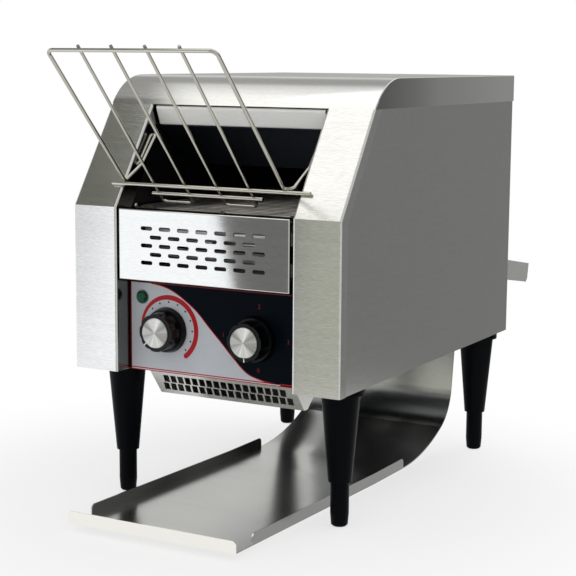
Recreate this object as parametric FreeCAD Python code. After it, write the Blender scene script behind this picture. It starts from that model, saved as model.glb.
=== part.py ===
import FreeCAD, Part
import math
import os

Vector = FreeCAD.Vector

# A small conveyor toaster on four screw-adjustable legs.
# X runs to the right, Y to the rear and Z up, in millimetres.
# The model is drawn with Y = 0 on the front face of the columns and Z = 0 on the counter,
# and every piece is moved by SHIFT_Y at the end, so that the origin is below the middle.

# Casing
BODY_WIDTH = 288.0
BODY_DEPTH = 410.0
COLUMN_RISE = 158.5
SLANT_RUN = 64.0
SLANT_RISE = 95.0
CAP_RADIUS = 63.0
SHEET = 1.2
BEND_RADIUS = 1.0
COLUMN_WIDTH = 49.0
COLUMN_RETURN = 22.0
COLUMN_FLANGE = 12.0
CAP_LAP = 8.0
CAP_HEM = 6.0
PANEL_FLANGE = 12.0
FIT_GAP = 0.2
OVERRUN = 5.0

# Legs and feet
LEG_LENGTH = 89.5
LEG_TOP_RADIUS = 18.4
LEG_END_RADIUS = 11.1
LEG_RIM_RADIUS = 22.4
LEG_RIM = 6.0
LEG_INSET = 24.7
FRONT_LEG_BACK = 51.0
REAR_LEG_FORWARD = 29.0
STUD_RADIUS = 5.0
STUD_LENGTH = 14.0
NUT_WIDTH = 17.0
NUT_HEIGHT = 8.0
FOOT_STANDOUT = 42.5
FOOT_RADIUS = 8.8
FOOT_END_RADIUS = 7.9
FOOT_TAPER = 12.0
FOOT_EDGE = 1.5
FOOT_INSERT = 27.0
FOOT_TRAVEL = 26.0
FOOT_PLAY = 0.3

# Perforated cover above the controls
COVER_HEIGHT = 67.0
COVER_DROP = 1.0
COVER_SIDE_GAP = 3.0
COVER_DEPTH = 12.0
COVER_TAB_HEIGHT = 12.0
COVER_TAB_SPACING = 28.0
SLOT_LENGTH = 13.0
SLOT_WIDTH = 3.8
SLOT_PITCH_X = 20.2
SLOT_PITCH_Z = 8.1
SLOT_ROWS = 5
SLOT_END_MARGIN = 18.0
SLOT_BLOCK_DROP = 33.4

# Control panel and what stands on it
PANEL_RECESS = 21.0
PANEL_SIDE_GAP = 0.4
SPEED_KNOB_INSET = 43.5
SELECTOR_KNOB_INSET = 49.7
KNOB_RISE = 41.7
LAMP_INSET = 15.5
LAMP_RISE = 71.4
SPINDLE_RADIUS = 3.0
SPINDLE_PLAY = 0.05
SPINDLE_LENGTH = 36.0
BUSHING_RADIUS = 4.5
BUSHING_STANDOUT = 4.0
BUSHING_HOLE_PLAY = 0.3
KNOB_PANEL_GAP = 0.8
KNOB_SKIRT_RADIUS = 22.0
KNOB_SKIRT_EDGE_RADIUS = 20.6
KNOB_SKIRT_HEIGHT = 6.0
KNOB_GRIP_RADIUS = 19.2
KNOB_GRIP_TOP_RADIUS = 18.0
KNOB_GRIP_HEIGHT = 14.0
KNOB_LOBES = 8
KNOB_SCALLOP_RADIUS = 6.0
KNOB_SCALLOP_DEPTH = 2.0
KNOB_HOLLOW_RADIUS = 9.0
KNOB_HOLLOW_DEPTH = 6.0
KNOB_BORE_DEPTH = 14.0
KNOB_CAP_RADIUS = 14.2
KNOB_CAP_HEIGHT = 1.8
KNOB_CAP_EDGE = 0.7
LAMP_HOLE_RADIUS = 5.0
LAMP_RIM_RADIUS = 6.4
LAMP_RIM = 1.4
LAMP_BODY_LENGTH = 22.0
LAMP_LENS_RADIUS = 5.0
LAMP_LENS_HEIGHT = 3.0
LAMP_LENS_EDGE = 1.0

# Speed control and heat selector behind the panel
BOARD_WIDTH = 44.0
BOARD_HEIGHT = 38.0
BOARD_THICKNESS = 1.6
BOARD_SETBACK = 6.0
CONTROL_CAN_RADIUS = 12.0
CONTROL_CAN_LENGTH = 11.0
SWITCH_WIDTH = 32.0
SWITCH_LENGTH = 30.0
SWITCH_CORNER = 6.0
SPINDLE_HOLE_LENGTH = 27.0

# Vent scoop under the controls
SCOOP_SIDE_INSET = 15.0
SCOOP_SETBACK = 31.0
SCOOP_RUN = 22.0
SCOOP_DROP = 28.0
SCOOP_FLOOR = 7.0
SCOOP_REAR_RUN = 32.0
LOZENGE_PITCH = 8.1
LOZENGE_WIDTH = 6.2
LOZENGE_HEIGHT = 10.2
LOZENGE_LEAN = 1.8
LOZENGE_ROW_PITCH = 11.6
LOZENGE_TOP_ROW = 13.2
LOZENGE_END_MARGIN = 7.0

# Base pan
PAN_UPSTAND = 12.0
DROP_WINDOW_SIDE_INSET = 3.0
DROP_WINDOW_FRONT = 212.0
DROP_WINDOW_REAR_MARGIN = 9.0
SCOOP_HOLE_MARGIN = 5.0

# Cooling fan
FAN_INSET = 65.0
FAN_BACK = 132.0
FAN_SIZE = 80.0
FAN_HEIGHT = 25.0
FAN_BORE_RADIUS = 38.0
FAN_CORNER = 4.0
FAN_HUB_RADIUS = 17.0
FAN_HUB_HEIGHT = 18.0
FAN_HUB_FLOOR = 3.0
FAN_STRUT_WIDTH = 4.0
FAN_STRUTS = 4
FAN_BLADES = 7
FAN_BLADE_RADIUS = 36.5
FAN_BLADE_THICKNESS = 1.6
FAN_BLADE_HEIGHT = 15.0
FAN_BLADE_PITCH_ANGLE = 38.0
FAN_PIN_RADIUS = 2.0
FAN_PIN_PLAY = 0.05
FAN_AXIAL_GAP = 0.5

# Conveyor
BELT_PITCH = 12.0
BELT_TEETH = 12
BELT_SPAN_LINKS = 23
FRONT_SHAFT_BACK = 40.0
SHAFT_BELOW_KNEE = 26.9
RUNG_RADIUS = 1.2
BELT_SIDE_GAP = 5.0
BELT_BAND_THICKNESS = 1.5
BELT_BAND_HEIGHT = 6.0
SHAFT_RADIUS = 5.0
SHAFT_PLAY = 0.05
BUSH_RADIUS = 8.0
BUSH_FLANGE_RADIUS = 10.0
BUSH_FLANGE = 1.8
BUSH_LENGTH = 6.0
SPROCKET_X_POSITIONS_SHARES = (-0.83, 0.0, 0.83)
SPROCKET_THICKNESS = 4.0
SPROCKET_TIP = 1.6
SPROCKET_GULLET_GAP = 0.4
SPROCKET_HUB_RADIUS = 9.0
SPROCKET_HUB_LENGTH = 12.0

# Belt drive in the right side compartment
COUPLING_RADIUS = 7.5
COUPLING_GAP = 0.5
COUPLING_LENGTH = 10.0
MOTOR_SHAFT_RADIUS = 3.5
MOTOR_SHAFT_LENGTH = 14.0
MOTOR_PLATE_WIDTH = 66.0
MOTOR_PLATE_HEIGHT = 34.0
MOTOR_PLATE = 2.0
MOTOR_STANDOFF_RADIUS = 3.5
MOTOR_STANDOFF_SPREAD = 26.0
GEARBOX_RADIUS = 24.0
GEARBOX_LENGTH = 14.0
MOTOR_RADIUS = 21.0
MOTOR_LENGTH = 13.0

# Heating chamber
WALL_TOP_GAP = 1.0
WALL_FRONT_GAP = 2.0
RAIL_SIDE_GAP = 2.5
RAIL_TOP_BACK = 66.0
RAIL_BOTTOM_BACK = 73.0
RAIL_BELOW_CAP = 2.5
RAIL_FACE = 16.0
RAIL_RETURN = 22.0
GUIDE_SIDE_GAP = 0.6
GUIDE_REAR = 118.0
GUIDE_ABOVE_BELT = 36.0
GUIDE_HEM = 7.0
REFLECTOR_REAR = 302.0
REFLECTOR_TOP_GAP = 13.0
REFLECTOR_SLOPE_RUN = 11.0
REFLECTOR_SETBACK = 2.8
REFLECTOR_SEAT_GAP = 0.6
HEATER_RADIUS = 5.0
HEATER_BACK_SHARES = (0.27, 0.72)
UPPER_HEATER_ABOVE_BELT = 60.0
LOWER_HEATER_DROP = 1.5
HEATER_END_RADIUS = 7.0
HEATER_END_LENGTH = 18.0
HEATER_END_INSIDE = 4.0
HEATER_SOCKET_PLAY = 0.1
LOWER_REFLECTOR_DROP = 17.0
LOWER_REFLECTOR_CLEARANCE = 10.0
LOWER_REFLECTOR_LIP = 7.0
FLOOR_BELOW_BELT = 6.4
FLOOR_REAR = 330.0
FLOOR_LIP = 8.0
BULKHEAD_BACK = 206.0
DEFLECTOR_REAR = 388.0
DEFLECTOR_RADIUS = 50.0
DEFLECTOR_SETBACK = 5.0
DEFLECTOR_END_RISE = 4.0

# Rear
SPACER_HEIGHT = 22.3
SPACER_END_HEIGHT = 20.6
SPACER_LENGTH = 68.0
SPACER_SLOPE_ANGLE = 9.6
SPACER_TOP_RISE = 78.6
SPACER_RETURN = 18.0
SPACER_FOOT = 14.0
SPACER_CORNER = 4.0
LOUVRE_LENGTH = 34.0
LOUVRE_WIDTH = 4.0
LOUVRE_PITCH = 11.0
LOUVRE_ROWS = 6
LOUVRE_COLUMN_SHARES = (-0.51, 0.0, 0.51)
LOUVRE_RISE = 24.0
GLAND_INSET = 26.0
GLAND_RISE = 30.0
GLAND_FLANGE_WIDTH = 24.0
GLAND_FLANGE = 5.0
GLAND_DOME_RADIUS = 9.5
GLAND_DOME_LENGTH = 12.0
GLAND_DOME_EDGE = 3.0
GLAND_BORE_RADIUS = 4.0
GLAND_THREAD_RADIUS = 8.0
GLAND_THREAD_LENGTH = 9.0
TERMINAL_INSET = 61.0
TERMINAL_BACK = 186.0
TERMINAL_WIDTH = 56.0
TERMINAL_DEPTH = 20.0
TERMINAL_HEIGHT = 18.0
TERMINAL_POLES = 5
TERMINAL_GROOVE = 2.0
TERMINAL_GROOVE_DEPTH = 9.0
SCREW_HEAD_RADIUS = 3.5
SCREW_HEAD = 2.2
SCREW_HEAD_EDGE = 1.2
SCREW_EDGE_INSET = 7.2
SCREW_ROWS_SHARES = (0.1, 0.5, 0.9)

# Toast tray, one bent sheet with a rear chute
TRAY_SIDE_INSET = 7.3
TRAY_LIP_OVERHANG = 2.0
TRAY_REACH = 88.0
TRAY_LIP_HEIGHT = 12.7
TRAY_LIP_LIFT = 5.6
TRAY_FLAT_FROM = 192.0
TRAY_FLANGE_HEIGHT = 11.2
TRAY_FLANGE_START = 32.5
TRAY_CORNER = 5.0
CHUTE_START = 262.0
CHUTE_RADIUS = 227.0
CHUTE_BREAK_ANGLE = 26.0
CHUTE_KICK_RADIUS = 50.0
CHUTE_END_ANGLE = 82.0
CHUTE_TOP_GAP = 6.0

# Bread loading rack, bent and welded wire
RACK_WIRE_RADIUS = 1.8
RACK_GUIDE_RADIUS = 1.5
RACK_ROD_RADIUS = 1.8
RACK_SIDE_GAP = 8.6
RACK_SHIFT = -8.0
RACK_GUIDE_SHIFT = -10.0
RACK_LEAN_ANGLE = 47.6
RACK_TOP_ALONG = 168.4
RACK_CORNER = 6.0
RACK_GUIDES = 4
RACK_GUIDE_STUB = 0.5
RACK_GUIDE_BELOW = 25.5
RACK_HAIRPIN_CORNER = 5.0
RACK_ROD_UP_SLANT = 24.4
RACK_ROD_OVERHANG = 11.7
RACK_ROD_SEAT = 0.3
RACK_SHORT_ROD_BELOW = 11.0
RACK_SHORT_ROD_SHIFT = -6.0
RACK_SHORT_ROD_SIDE_GAP = 35.2
RACK_WELD_SINK = 0.1
EAR_INNER_GAP = 7.6
EAR_OUTER_GAP = 2.3
EAR_KNEE_UP = 50.0
EAR_KNEE_BEHIND = 5.0
EAR_TOP_UP = 86.0
EAR_TOP_BEHIND = 10.0
EAR_BEND = 2.6
EAR_PIN_UP = 52.0
EAR_PIN_BEHIND = 7.5
EAR_PIN_REACH = 4.5
EAR_PIN_PLAY = 0.08
RIGHT_EAR_INNER_GAP = 6.0
RIGHT_EAR_CORNER_GAP = 7.0
RIGHT_EAR_CORNER_UP = 29.0
RIGHT_EAR_CORNER_BEHIND = -2.0
RIGHT_EAR_KNEE_UP = 60.0
RIGHT_EAR_KNEE_BEHIND = 12.5
RIGHT_EAR_TOP_BEHIND = 15.0
RIGHT_EAR_OUTER_BEHIND = 9.0
WALL_PIN_HOLE_RADIUS = 4.5

# Heights and places that follow from the sizes above
Z_BOTTOM = FOOT_STANDOUT + LEG_LENGTH
Z_KNEE = Z_BOTTOM + COLUMN_RISE
Z_CAP = Z_KNEE + SLANT_RISE
SLANT = math.atan2(SLANT_RISE, SLANT_RUN)
CAP_RISE = CAP_RADIUS * (1 - math.cos(SLANT))
CAP_RUN = CAP_RADIUS * math.sin(SLANT)
Z_TOP = Z_CAP + CAP_RISE
HALF_WIDTH = BODY_WIDTH / 2
PANEL_FACE_X = HALF_WIDTH - SHEET
OPENING_HALF = HALF_WIDTH - COLUMN_WIDTH
WALL_X = OPENING_HALF + SHEET + FIT_GAP
LINER_HALF = WALL_X - FIT_GAP
Z_PAN = Z_BOTTOM + SHEET
LEG_X = HALF_WIDTH - LEG_INSET
LEG_PLACES = {
    "front_left": (-LEG_X, FRONT_LEG_BACK),
    "front_right": (LEG_X, FRONT_LEG_BACK),
    "rear_left": (-LEG_X, BODY_DEPTH - REAR_LEG_FORWARD),
    "rear_right": (LEG_X, BODY_DEPTH - REAR_LEG_FORWARD),
}
KNOB_Z = Z_BOTTOM + KNOB_RISE
LAMP_Z = Z_BOTTOM + LAMP_RISE
COVER_TOP = Z_KNEE - COVER_DROP
COVER_BOTTOM = COVER_TOP - COVER_HEIGHT
COVER_HALF = OPENING_HALF - COVER_SIDE_GAP
PANEL_HALF = OPENING_HALF - PANEL_SIDE_GAP
SLOTS_LONG_ROW = int(2 * (COVER_HALF - SLOT_END_MARGIN) / SLOT_PITCH_X)
SPEED_KNOB_X = SPEED_KNOB_INSET - OPENING_HALF
SELECTOR_KNOB_X = OPENING_HALF - SELECTOR_KNOB_INSET
LAMP_X = LAMP_INSET - OPENING_HALF
SCOOP_HALF_WIDTH = OPENING_HALF - SCOOP_SIDE_INSET
LOZENGES_LOW_ROW = int(2 * (SCOOP_HALF_WIDTH - LOZENGE_END_MARGIN) / LOZENGE_PITCH)
DROP_WINDOW_HALF_WIDTH = OPENING_HALF - DROP_WINDOW_SIDE_INSET
FAN_X = FAN_INSET - OPENING_HALF
TERMINAL_X = OPENING_HALF - TERMINAL_INSET
GLAND_X = GLAND_INSET - HALF_WIDTH
RAIL_HALF_WIDTH = OPENING_HALF - RAIL_SIDE_GAP
GUIDE_HALF_WIDTH = OPENING_HALF - GUIDE_SIDE_GAP
TRAY_HALF_WIDTH = OPENING_HALF - TRAY_SIDE_INSET
TRAY_LIP_HALF_WIDTH = TRAY_HALF_WIDTH + TRAY_LIP_OVERHANG
RACK_HALF_WIDTH = OPENING_HALF - RACK_SIDE_GAP
RACK_ROD_HALF_LENGTH = OPENING_HALF + RACK_ROD_OVERHANG
RACK_SHORT_ROD_HALF_LENGTH = OPENING_HALF - RACK_SHORT_ROD_SIDE_GAP
EAR_INNER_X = OPENING_HALF - EAR_INNER_GAP
EAR_OUTER_X = OPENING_HALF - EAR_OUTER_GAP
EAR_PIN_END_X = OPENING_HALF + EAR_PIN_REACH
BELT_HALF_WIDTH = OPENING_HALF - BELT_SIDE_GAP

BELT_RADIUS = BELT_PITCH / (2 * math.sin(math.pi / BELT_TEETH))
SHAFT_Z = Z_KNEE - SHAFT_BELOW_KNEE
REAR_SHAFT_BACK = FRONT_SHAFT_BACK + BELT_SPAN_LINKS * BELT_PITCH
BELT_TOP = SHAFT_Z + BELT_RADIUS + RUNG_RADIUS
BELT_UNDERSIDE = SHAFT_Z - BELT_RADIUS - BELT_BAND_HEIGHT / 2
FLOOR_UNDERSIDE = BELT_UNDERSIDE - FLOOR_BELOW_BELT
GUIDE_BOTTOM = BELT_TOP + GUIDE_ABOVE_BELT
REFLECTOR_TOP = Z_CAP - REFLECTOR_TOP_GAP

SPACER_SLOPE = math.radians(SPACER_SLOPE_ANGLE)
RACK_LEAN = math.radians(RACK_LEAN_ANGLE)


def along_slant(up, behind):
    """(y, z) of a point, up the slanted front from the knee and behind its outer face."""
    y = up * math.cos(SLANT) + behind * math.sin(SLANT)
    z = Z_KNEE + up * math.sin(SLANT) - behind * math.cos(SLANT)
    return y, z


ROD_Y, ROD_Z = along_slant(RACK_ROD_UP_SLANT, -RACK_ROD_RADIUS - RACK_ROD_SEAT)
PIN_Y, PIN_Z = along_slant(EAR_PIN_UP, EAR_PIN_BEHIND)
REAR_REACH = BODY_DEPTH + SPACER_LENGTH * math.cos(SPACER_SLOPE)


def rack_point(x, along, lift):
    """A point of the rack's plane: along its wires from the long rod, lifted off the rod."""
    y = ROD_Y - along * math.cos(RACK_LEAN) + lift * math.sin(RACK_LEAN)
    z = ROD_Z + along * math.sin(RACK_LEAN) + lift * math.cos(RACK_LEAN)
    return Vector(x, y, z)


GUIDE_LIFT = RACK_ROD_RADIUS + RACK_GUIDE_RADIUS - RACK_WELD_SINK
FRAME_LIFT = RACK_ROD_RADIUS + RACK_WIRE_RADIUS - RACK_WELD_SINK
BAR_LIFT = GUIDE_LIFT - RACK_GUIDE_RADIUS - RACK_WIRE_RADIUS
FRONT_REACH = rack_point(0, RACK_TOP_ALONG, BAR_LIFT).y - RACK_WIRE_RADIUS
SHIFT_Y = -(FRONT_REACH + REAR_REACH) / 2


def box(x0, x1, y0, y1, z0, z1):
    """A block between two corners."""
    return Part.makeBox(x1 - x0, y1 - y0, z1 - z0, Vector(x0, y0, z0))


def cylinder(radius, start, end):
    """A round bar from one point to another."""
    run = end - start
    return Part.makeCylinder(radius, run.Length, start, run)


def prism(points, run):
    """A closed outline pushed along a vector."""
    wire = Part.makePolygon(points + [points[0]])
    return Part.Face(wire).extrude(run)


def side_prism(outline, x0, x1):
    """An outline of (y, z) points, from x0 to x1."""
    return prism([Vector(x0, y, z) for y, z in outline], Vector(x1 - x0, 0, 0))


def rounded_path(points, radii):
    """Straight runs joined by tangent arcs, with one radius for each point between the ends."""
    edges = []
    start = points[0]
    for before, corner, after, radius in zip(points, points[1:], points[2:], radii):
        back = (before - corner).normalize()
        ahead = (after - corner).normalize()
        half = back.getAngle(ahead) / 2
        trim = radius / math.tan(half)
        first = corner + back * trim
        last = corner + ahead * trim
        inward = (back + ahead).normalize()
        centre = corner + inward * (radius / math.sin(half))
        edges.append(Part.LineSegment(start, first).toShape())
        edges.append(Part.Arc(first, centre - inward * radius, last).toShape())
        start = last
    edges.append(Part.LineSegment(start, points[-1]).toShape())
    return Part.Wire(edges)


def bent_sheet(wire, side, x0, x1):
    """A sheet that follows a wire in a plane of constant X; side is 1 or -1."""
    face = wire.makeOffset2D(side * SHEET, join=0, fill=True, openResult=True)
    face.translate(Vector(x0 - wire.BoundBox.XMin, 0, 0))
    return face.extrude(Vector(x1 - x0, 0, 0))


def sheet_path(points, side, x0, x1, radius=BEND_RADIUS):
    """A bent sheet through (y, z) points, with one bend radius."""
    corners = [Vector(0, y, z) for y, z in points]
    return bent_sheet(rounded_path(corners, [radius] * len(points[1:-1])), side, x0, x1)


def lathe(profile, base, axis):
    """A body of revolution: (radius, distance) points about an axis through base."""
    points = [Vector(r, 0, h) for r, h in profile]
    face = Part.Face(Part.makePolygon(points + [points[0]]))
    solid = face.revolve(Vector(0, 0, 0), Vector(0, 0, 1), 360)
    turn = FreeCAD.Rotation(Vector(0, 0, 1), axis)
    solid.Placement = FreeCAD.Placement(base, turn)
    return solid


def wire_form(points, radius, bends):
    """A round wire bent through points, with one bend radius for each point between the ends."""
    path = rounded_path(points, bends)
    ring = Part.Wire([Part.Circle(points[0], points[1] - points[0], radius).toShape()])
    return path.makePipeShell([ring], True, False)


def fuse(shapes):
    """Several touching shapes made one."""
    return shapes[0].multiFuse(shapes[1:]).removeSplitter()


def mirrored(shape):
    """The same piece on the other side of the middle plane."""
    return shape.mirror(Vector(0, 0, 0), Vector(1, 0, 0))


def hexagon(width, centre, run):
    """A hexagonal bar; its flats are width apart and it stands along run, a Z or Y vector."""
    reach = width / math.sqrt(3)
    side_axis = Vector(1, 0, 0)
    other_axis = run.cross(side_axis).normalize()
    points = []
    for step in range(6):
        turn = math.radians(60 * step)
        across = side_axis * (reach * math.cos(turn))
        points.append(centre + across + other_axis * (reach * math.sin(turn)))
    return prism(points, run)


def front_line(inset):
    """The front outline of the casing, (y, z), moved inward by inset: foot, knee and cap line."""
    knee_z = Z_KNEE - inset * math.cos(SLANT) + inset * (1 - math.sin(SLANT)) * math.tan(SLANT)
    cap_y = inset / math.sin(SLANT) + SLANT_RUN
    return [(inset, Z_BOTTOM), (inset, knee_z), (cap_y, Z_CAP)]


def column_block(inset, depth, x0, x1, radius):
    """A solid that follows the casing's front, its front edges rounded."""
    outline = front_line(inset) + front_line(inset + depth)[::-1]
    block = side_prism(outline, x0, x1)
    front = front_line(inset)
    edges = []
    for edge in block.Edges:
        at = edge.CenterOfMass
        on_side = min(abs(at.x - x0), abs(at.x - x1)) < FIT_GAP
        lower = abs(at.y - front[0][0]) < FIT_GAP and at.z < front[1][1]
        up = (at.z - Z_KNEE) * math.cos(SLANT) - at.y * math.sin(SLANT)
        upper = abs(up + inset) < FIT_GAP and at.z > front[1][1]
        if on_side and (lower or upper):
            edges.append(edge)
    return block.makeFillet(radius, edges)


def right_front_column():
    """The stainless corner column: face, deep inner return, and a narrow flange on the side."""
    outer = column_block(0, COLUMN_RETURN, OPENING_HALF, HALF_WIDTH, BEND_RADIUS + SHEET)
    inner = column_block(SHEET, COLUMN_RETURN, OPENING_HALF + SHEET, HALF_WIDTH - SHEET, BEND_RADIUS)
    trim_outline = front_line(COLUMN_FLANGE) + front_line(COLUMN_RETURN + OVERRUN)[::-1]
    trim = side_prism(trim_outline, HALF_WIDTH - OVERRUN, HALF_WIDTH + OVERRUN)
    pin_hole = cylinder(
        RACK_WIRE_RADIUS + EAR_PIN_PLAY,
        Vector(OPENING_HALF - OVERRUN, PIN_Y, PIN_Z),
        Vector(OPENING_HALF + OVERRUN, PIN_Y, PIN_Z),
    )
    return outer.cut([inner, trim, pin_hole])


def right_side_panel():
    """The flat side: its edge lies under the column's flange and the cap, its rear edge is folded."""
    front = front_line(SHEET + BEND_RADIUS)
    lap_start = SLANT_RUN + CAP_RUN
    outline = [
        front[0],
        front[1],
        front[2],
        (lap_start, Z_CAP),
        (lap_start, Z_CAP + CAP_LAP),
        (BODY_DEPTH - SHEET - FIT_GAP, Z_CAP + CAP_LAP),
        (BODY_DEPTH - SHEET - FIT_GAP, Z_BOTTOM),
    ]
    plate = side_prism(outline, PANEL_FACE_X - SHEET, PANEL_FACE_X)
    fold = box(
        PANEL_FACE_X - PANEL_FLANGE, PANEL_FACE_X,
        BODY_DEPTH - SHEET - FIT_GAP - SHEET, BODY_DEPTH - SHEET - FIT_GAP,
        Z_PAN + FIT_GAP, Z_CAP,
    )
    return fuse([plate, fold])


def cap_block(inset, half_width, overrun):
    """The cap's outer or inner volume, with its arc tangent to the slanted fronts."""
    centre_y = SLANT_RUN + CAP_RUN
    centre_z = Z_TOP - CAP_RADIUS
    radius = CAP_RADIUS - inset
    x = -half_width
    start = Vector(x, centre_y - radius * math.sin(SLANT), centre_z + radius * math.cos(SLANT))
    middle_angle = SLANT / 2
    middle = Vector(
        x, centre_y - radius * math.sin(middle_angle), centre_z + radius * math.cos(middle_angle)
    )
    crown = Vector(x, centre_y, centre_z + radius)
    rear_top = Vector(x, BODY_DEPTH - inset, centre_z + radius)
    rear_low = Vector(x, BODY_DEPTH - inset, Z_CAP - overrun)
    front_low = Vector(x, start.y, Z_CAP - overrun)
    edges = [
        Part.Arc(start, middle, crown).toShape(),
        Part.LineSegment(crown, rear_top).toShape(),
        Part.LineSegment(rear_top, rear_low).toShape(),
        Part.LineSegment(rear_low, front_low).toShape(),
    ]
    if (front_low - start).Length > FIT_GAP * FIT_GAP:
        edges.append(Part.LineSegment(front_low, start).toShape())
    return Part.Face(Part.Wire(edges)).extrude(Vector(2 * half_width, 0, 0))


def top_cap():
    """The curved lid: one sheet over the top with skirts on both sides and at the rear."""
    outer = cap_block(0, HALF_WIDTH, 0)
    rim = []
    for edge in outer.Edges:
        at = edge.CenterOfMass
        on_side = abs(abs(at.x) - HALF_WIDTH) < FIT_GAP
        if on_side and at.z > Z_CAP + FIT_GAP and at.y < BODY_DEPTH - FIT_GAP:
            rim.append(edge)
    outer = outer.makeFillet(BEND_RADIUS, rim)
    inner = cap_block(SHEET, HALF_WIDTH - SHEET, OVERRUN)
    shell = outer.cut(inner)
    hem_y, hem_z = along_slant(SLANT_RISE / math.sin(SLANT), 0)
    hem_start = Vector(0, hem_y + SHEET * math.sin(SLANT), hem_z)
    hem_end = Vector(0, hem_start.y + CAP_HEM, hem_z)
    hem = box(
        -OPENING_HALF, OPENING_HALF, hem_start.y, hem_end.y, Z_CAP, Z_CAP + SHEET
    )
    return fuse([shell, hem])


def rear_panel():
    """The flat rear sheet with vent slots and the hole of the cord gland."""
    plate = box(
        -PANEL_FACE_X, PANEL_FACE_X, BODY_DEPTH - SHEET, BODY_DEPTH, Z_BOTTOM, Z_CAP - FIT_GAP
    )
    y0 = BODY_DEPTH - SHEET - OVERRUN
    y1 = BODY_DEPTH + OVERRUN
    cuts = []
    for share in LOUVRE_COLUMN_SHARES:
        x = share * OPENING_HALF
        for row in range(LOUVRE_ROWS):
            z = Z_BOTTOM + LOUVRE_RISE + row * LOUVRE_PITCH
            cuts.append(slot(x, z, y0, y1, LOUVRE_LENGTH, LOUVRE_WIDTH))
    gland_at = Vector(GLAND_X, BODY_DEPTH + OVERRUN, Z_BOTTOM + GLAND_RISE)
    cuts.append(cylinder(GLAND_THREAD_RADIUS, gland_at, gland_at - Vector(0, 2 * OVERRUN + SHEET, 0)))
    return plate.cut(cuts)


def slot(x, z, y0, y1, length, width):
    """A round-ended slot that runs across, as a cutting tool from y0 to y1."""
    reach = length / 2 - width / 2
    half = width / 2
    left_low = Vector(x - reach, y0, z - half)
    right_low = Vector(x + reach, y0, z - half)
    right_high = Vector(x + reach, y0, z + half)
    left_high = Vector(x - reach, y0, z + half)
    edges = [
        Part.LineSegment(left_low, right_low).toShape(),
        Part.Arc(right_low, Vector(x + reach + half, y0, z), right_high).toShape(),
        Part.LineSegment(right_high, left_high).toShape(),
        Part.Arc(left_high, Vector(x - reach - half, y0, z), left_low).toShape(),
    ]
    return Part.Face(Part.Wire(edges)).extrude(Vector(0, y1 - y0, 0))


def right_rear_spacer():
    """A bent strap that keeps the hot casing off the wall behind it."""
    top = Z_BOTTOM + SPACER_TOP_RISE
    run = SPACER_LENGTH * math.cos(SPACER_SLOPE)
    fall = SPACER_LENGTH * math.sin(SPACER_SLOPE)
    lean = SPACER_END_HEIGHT * math.sin(SPACER_SLOPE)
    outline = [
        (BODY_DEPTH, top),
        (BODY_DEPTH + run, top - fall),
        (BODY_DEPTH + run - lean, top - fall - SPACER_END_HEIGHT + SPACER_CORNER),
        (BODY_DEPTH + run - lean - SPACER_CORNER, top - fall - SPACER_END_HEIGHT),
        (BODY_DEPTH, top - SPACER_HEIGHT),
    ]
    cheek = side_prism(outline, PANEL_FACE_X - SHEET, PANEL_FACE_X)
    foot = box(
        PANEL_FACE_X - SPACER_FOOT, PANEL_FACE_X, BODY_DEPTH, BODY_DEPTH + SHEET,
        top - SPACER_HEIGHT, top,
    )
    end_outline = [
        (BODY_DEPTH + run - SHEET, top - fall),
        (BODY_DEPTH + run, top - fall),
        (BODY_DEPTH + run - lean, top - fall - SPACER_END_HEIGHT + SPACER_CORNER),
        (BODY_DEPTH + run - lean - SHEET, top - fall - SPACER_END_HEIGHT + SPACER_CORNER),
    ]
    end = side_prism(end_outline, PANEL_FACE_X - SPACER_RETURN, PANEL_FACE_X)
    return fuse([cheek, foot, end])


def base_pan():
    """The bottom sheet with side upstands, the toast window and the vent openings."""
    half = PANEL_FACE_X - SHEET
    front = SHEET + FIT_GAP
    rear = BODY_DEPTH - SHEET
    panel_rear = PANEL_RECESS + SHEET + FIT_GAP
    plate = box(-half, half, front, rear, Z_BOTTOM, Z_PAN)
    upstand = box(
        half - SHEET, half, COLUMN_RETURN + FIT_GAP, rear - 2 * SHEET - FIT_GAP,
        Z_BOTTOM, Z_PAN + PAN_UPSTAND,
    )
    notch = box(-WALL_X, WALL_X, front - OVERRUN, panel_rear, Z_BOTTOM - OVERRUN, Z_PAN + OVERRUN)
    window = box(
        -DROP_WINDOW_HALF_WIDTH, DROP_WINDOW_HALF_WIDTH, DROP_WINDOW_FRONT,
        BODY_DEPTH - DROP_WINDOW_REAR_MARGIN, Z_BOTTOM - OVERRUN, Z_PAN + OVERRUN,
    )
    scoop_hole = box(
        -SCOOP_HALF_WIDTH + SCOOP_HOLE_MARGIN, SCOOP_HALF_WIDTH - SCOOP_HOLE_MARGIN,
        SCOOP_SETBACK + SCOOP_HOLE_MARGIN,
        SCOOP_SETBACK + SCOOP_RUN + SCOOP_FLOOR + SCOOP_REAR_RUN - SCOOP_HOLE_MARGIN,
        Z_BOTTOM - OVERRUN, Z_PAN + OVERRUN,
    )
    low = Z_BOTTOM - OVERRUN
    high = Z_PAN + OVERRUN
    fan_hole = cylinder(FAN_BORE_RADIUS, Vector(FAN_X, FAN_BACK, low), Vector(FAN_X, FAN_BACK, high))
    cuts = [notch, window, scoop_hole, fan_hole]
    for x, y in LEG_PLACES.values():
        cuts.append(cylinder(STUD_RADIUS + FIT_GAP, Vector(x, y, low), Vector(x, y, high)))
    return fuse([plate, upstand, mirrored(upstand)]).cut(cuts)


def shaft_places():
    """(y, z) of the two conveyor shafts."""
    return [(FRONT_SHAFT_BACK, SHAFT_Z), (REAR_SHAFT_BACK, SHAFT_Z)]


def upper_heater_places():
    """(y, z) of the tubes above the belt."""
    span = REFLECTOR_REAR - GUIDE_REAR
    z = BELT_TOP + UPPER_HEATER_ABOVE_BELT
    return [(GUIDE_REAR + share * span, z) for share in HEATER_BACK_SHARES]


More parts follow.
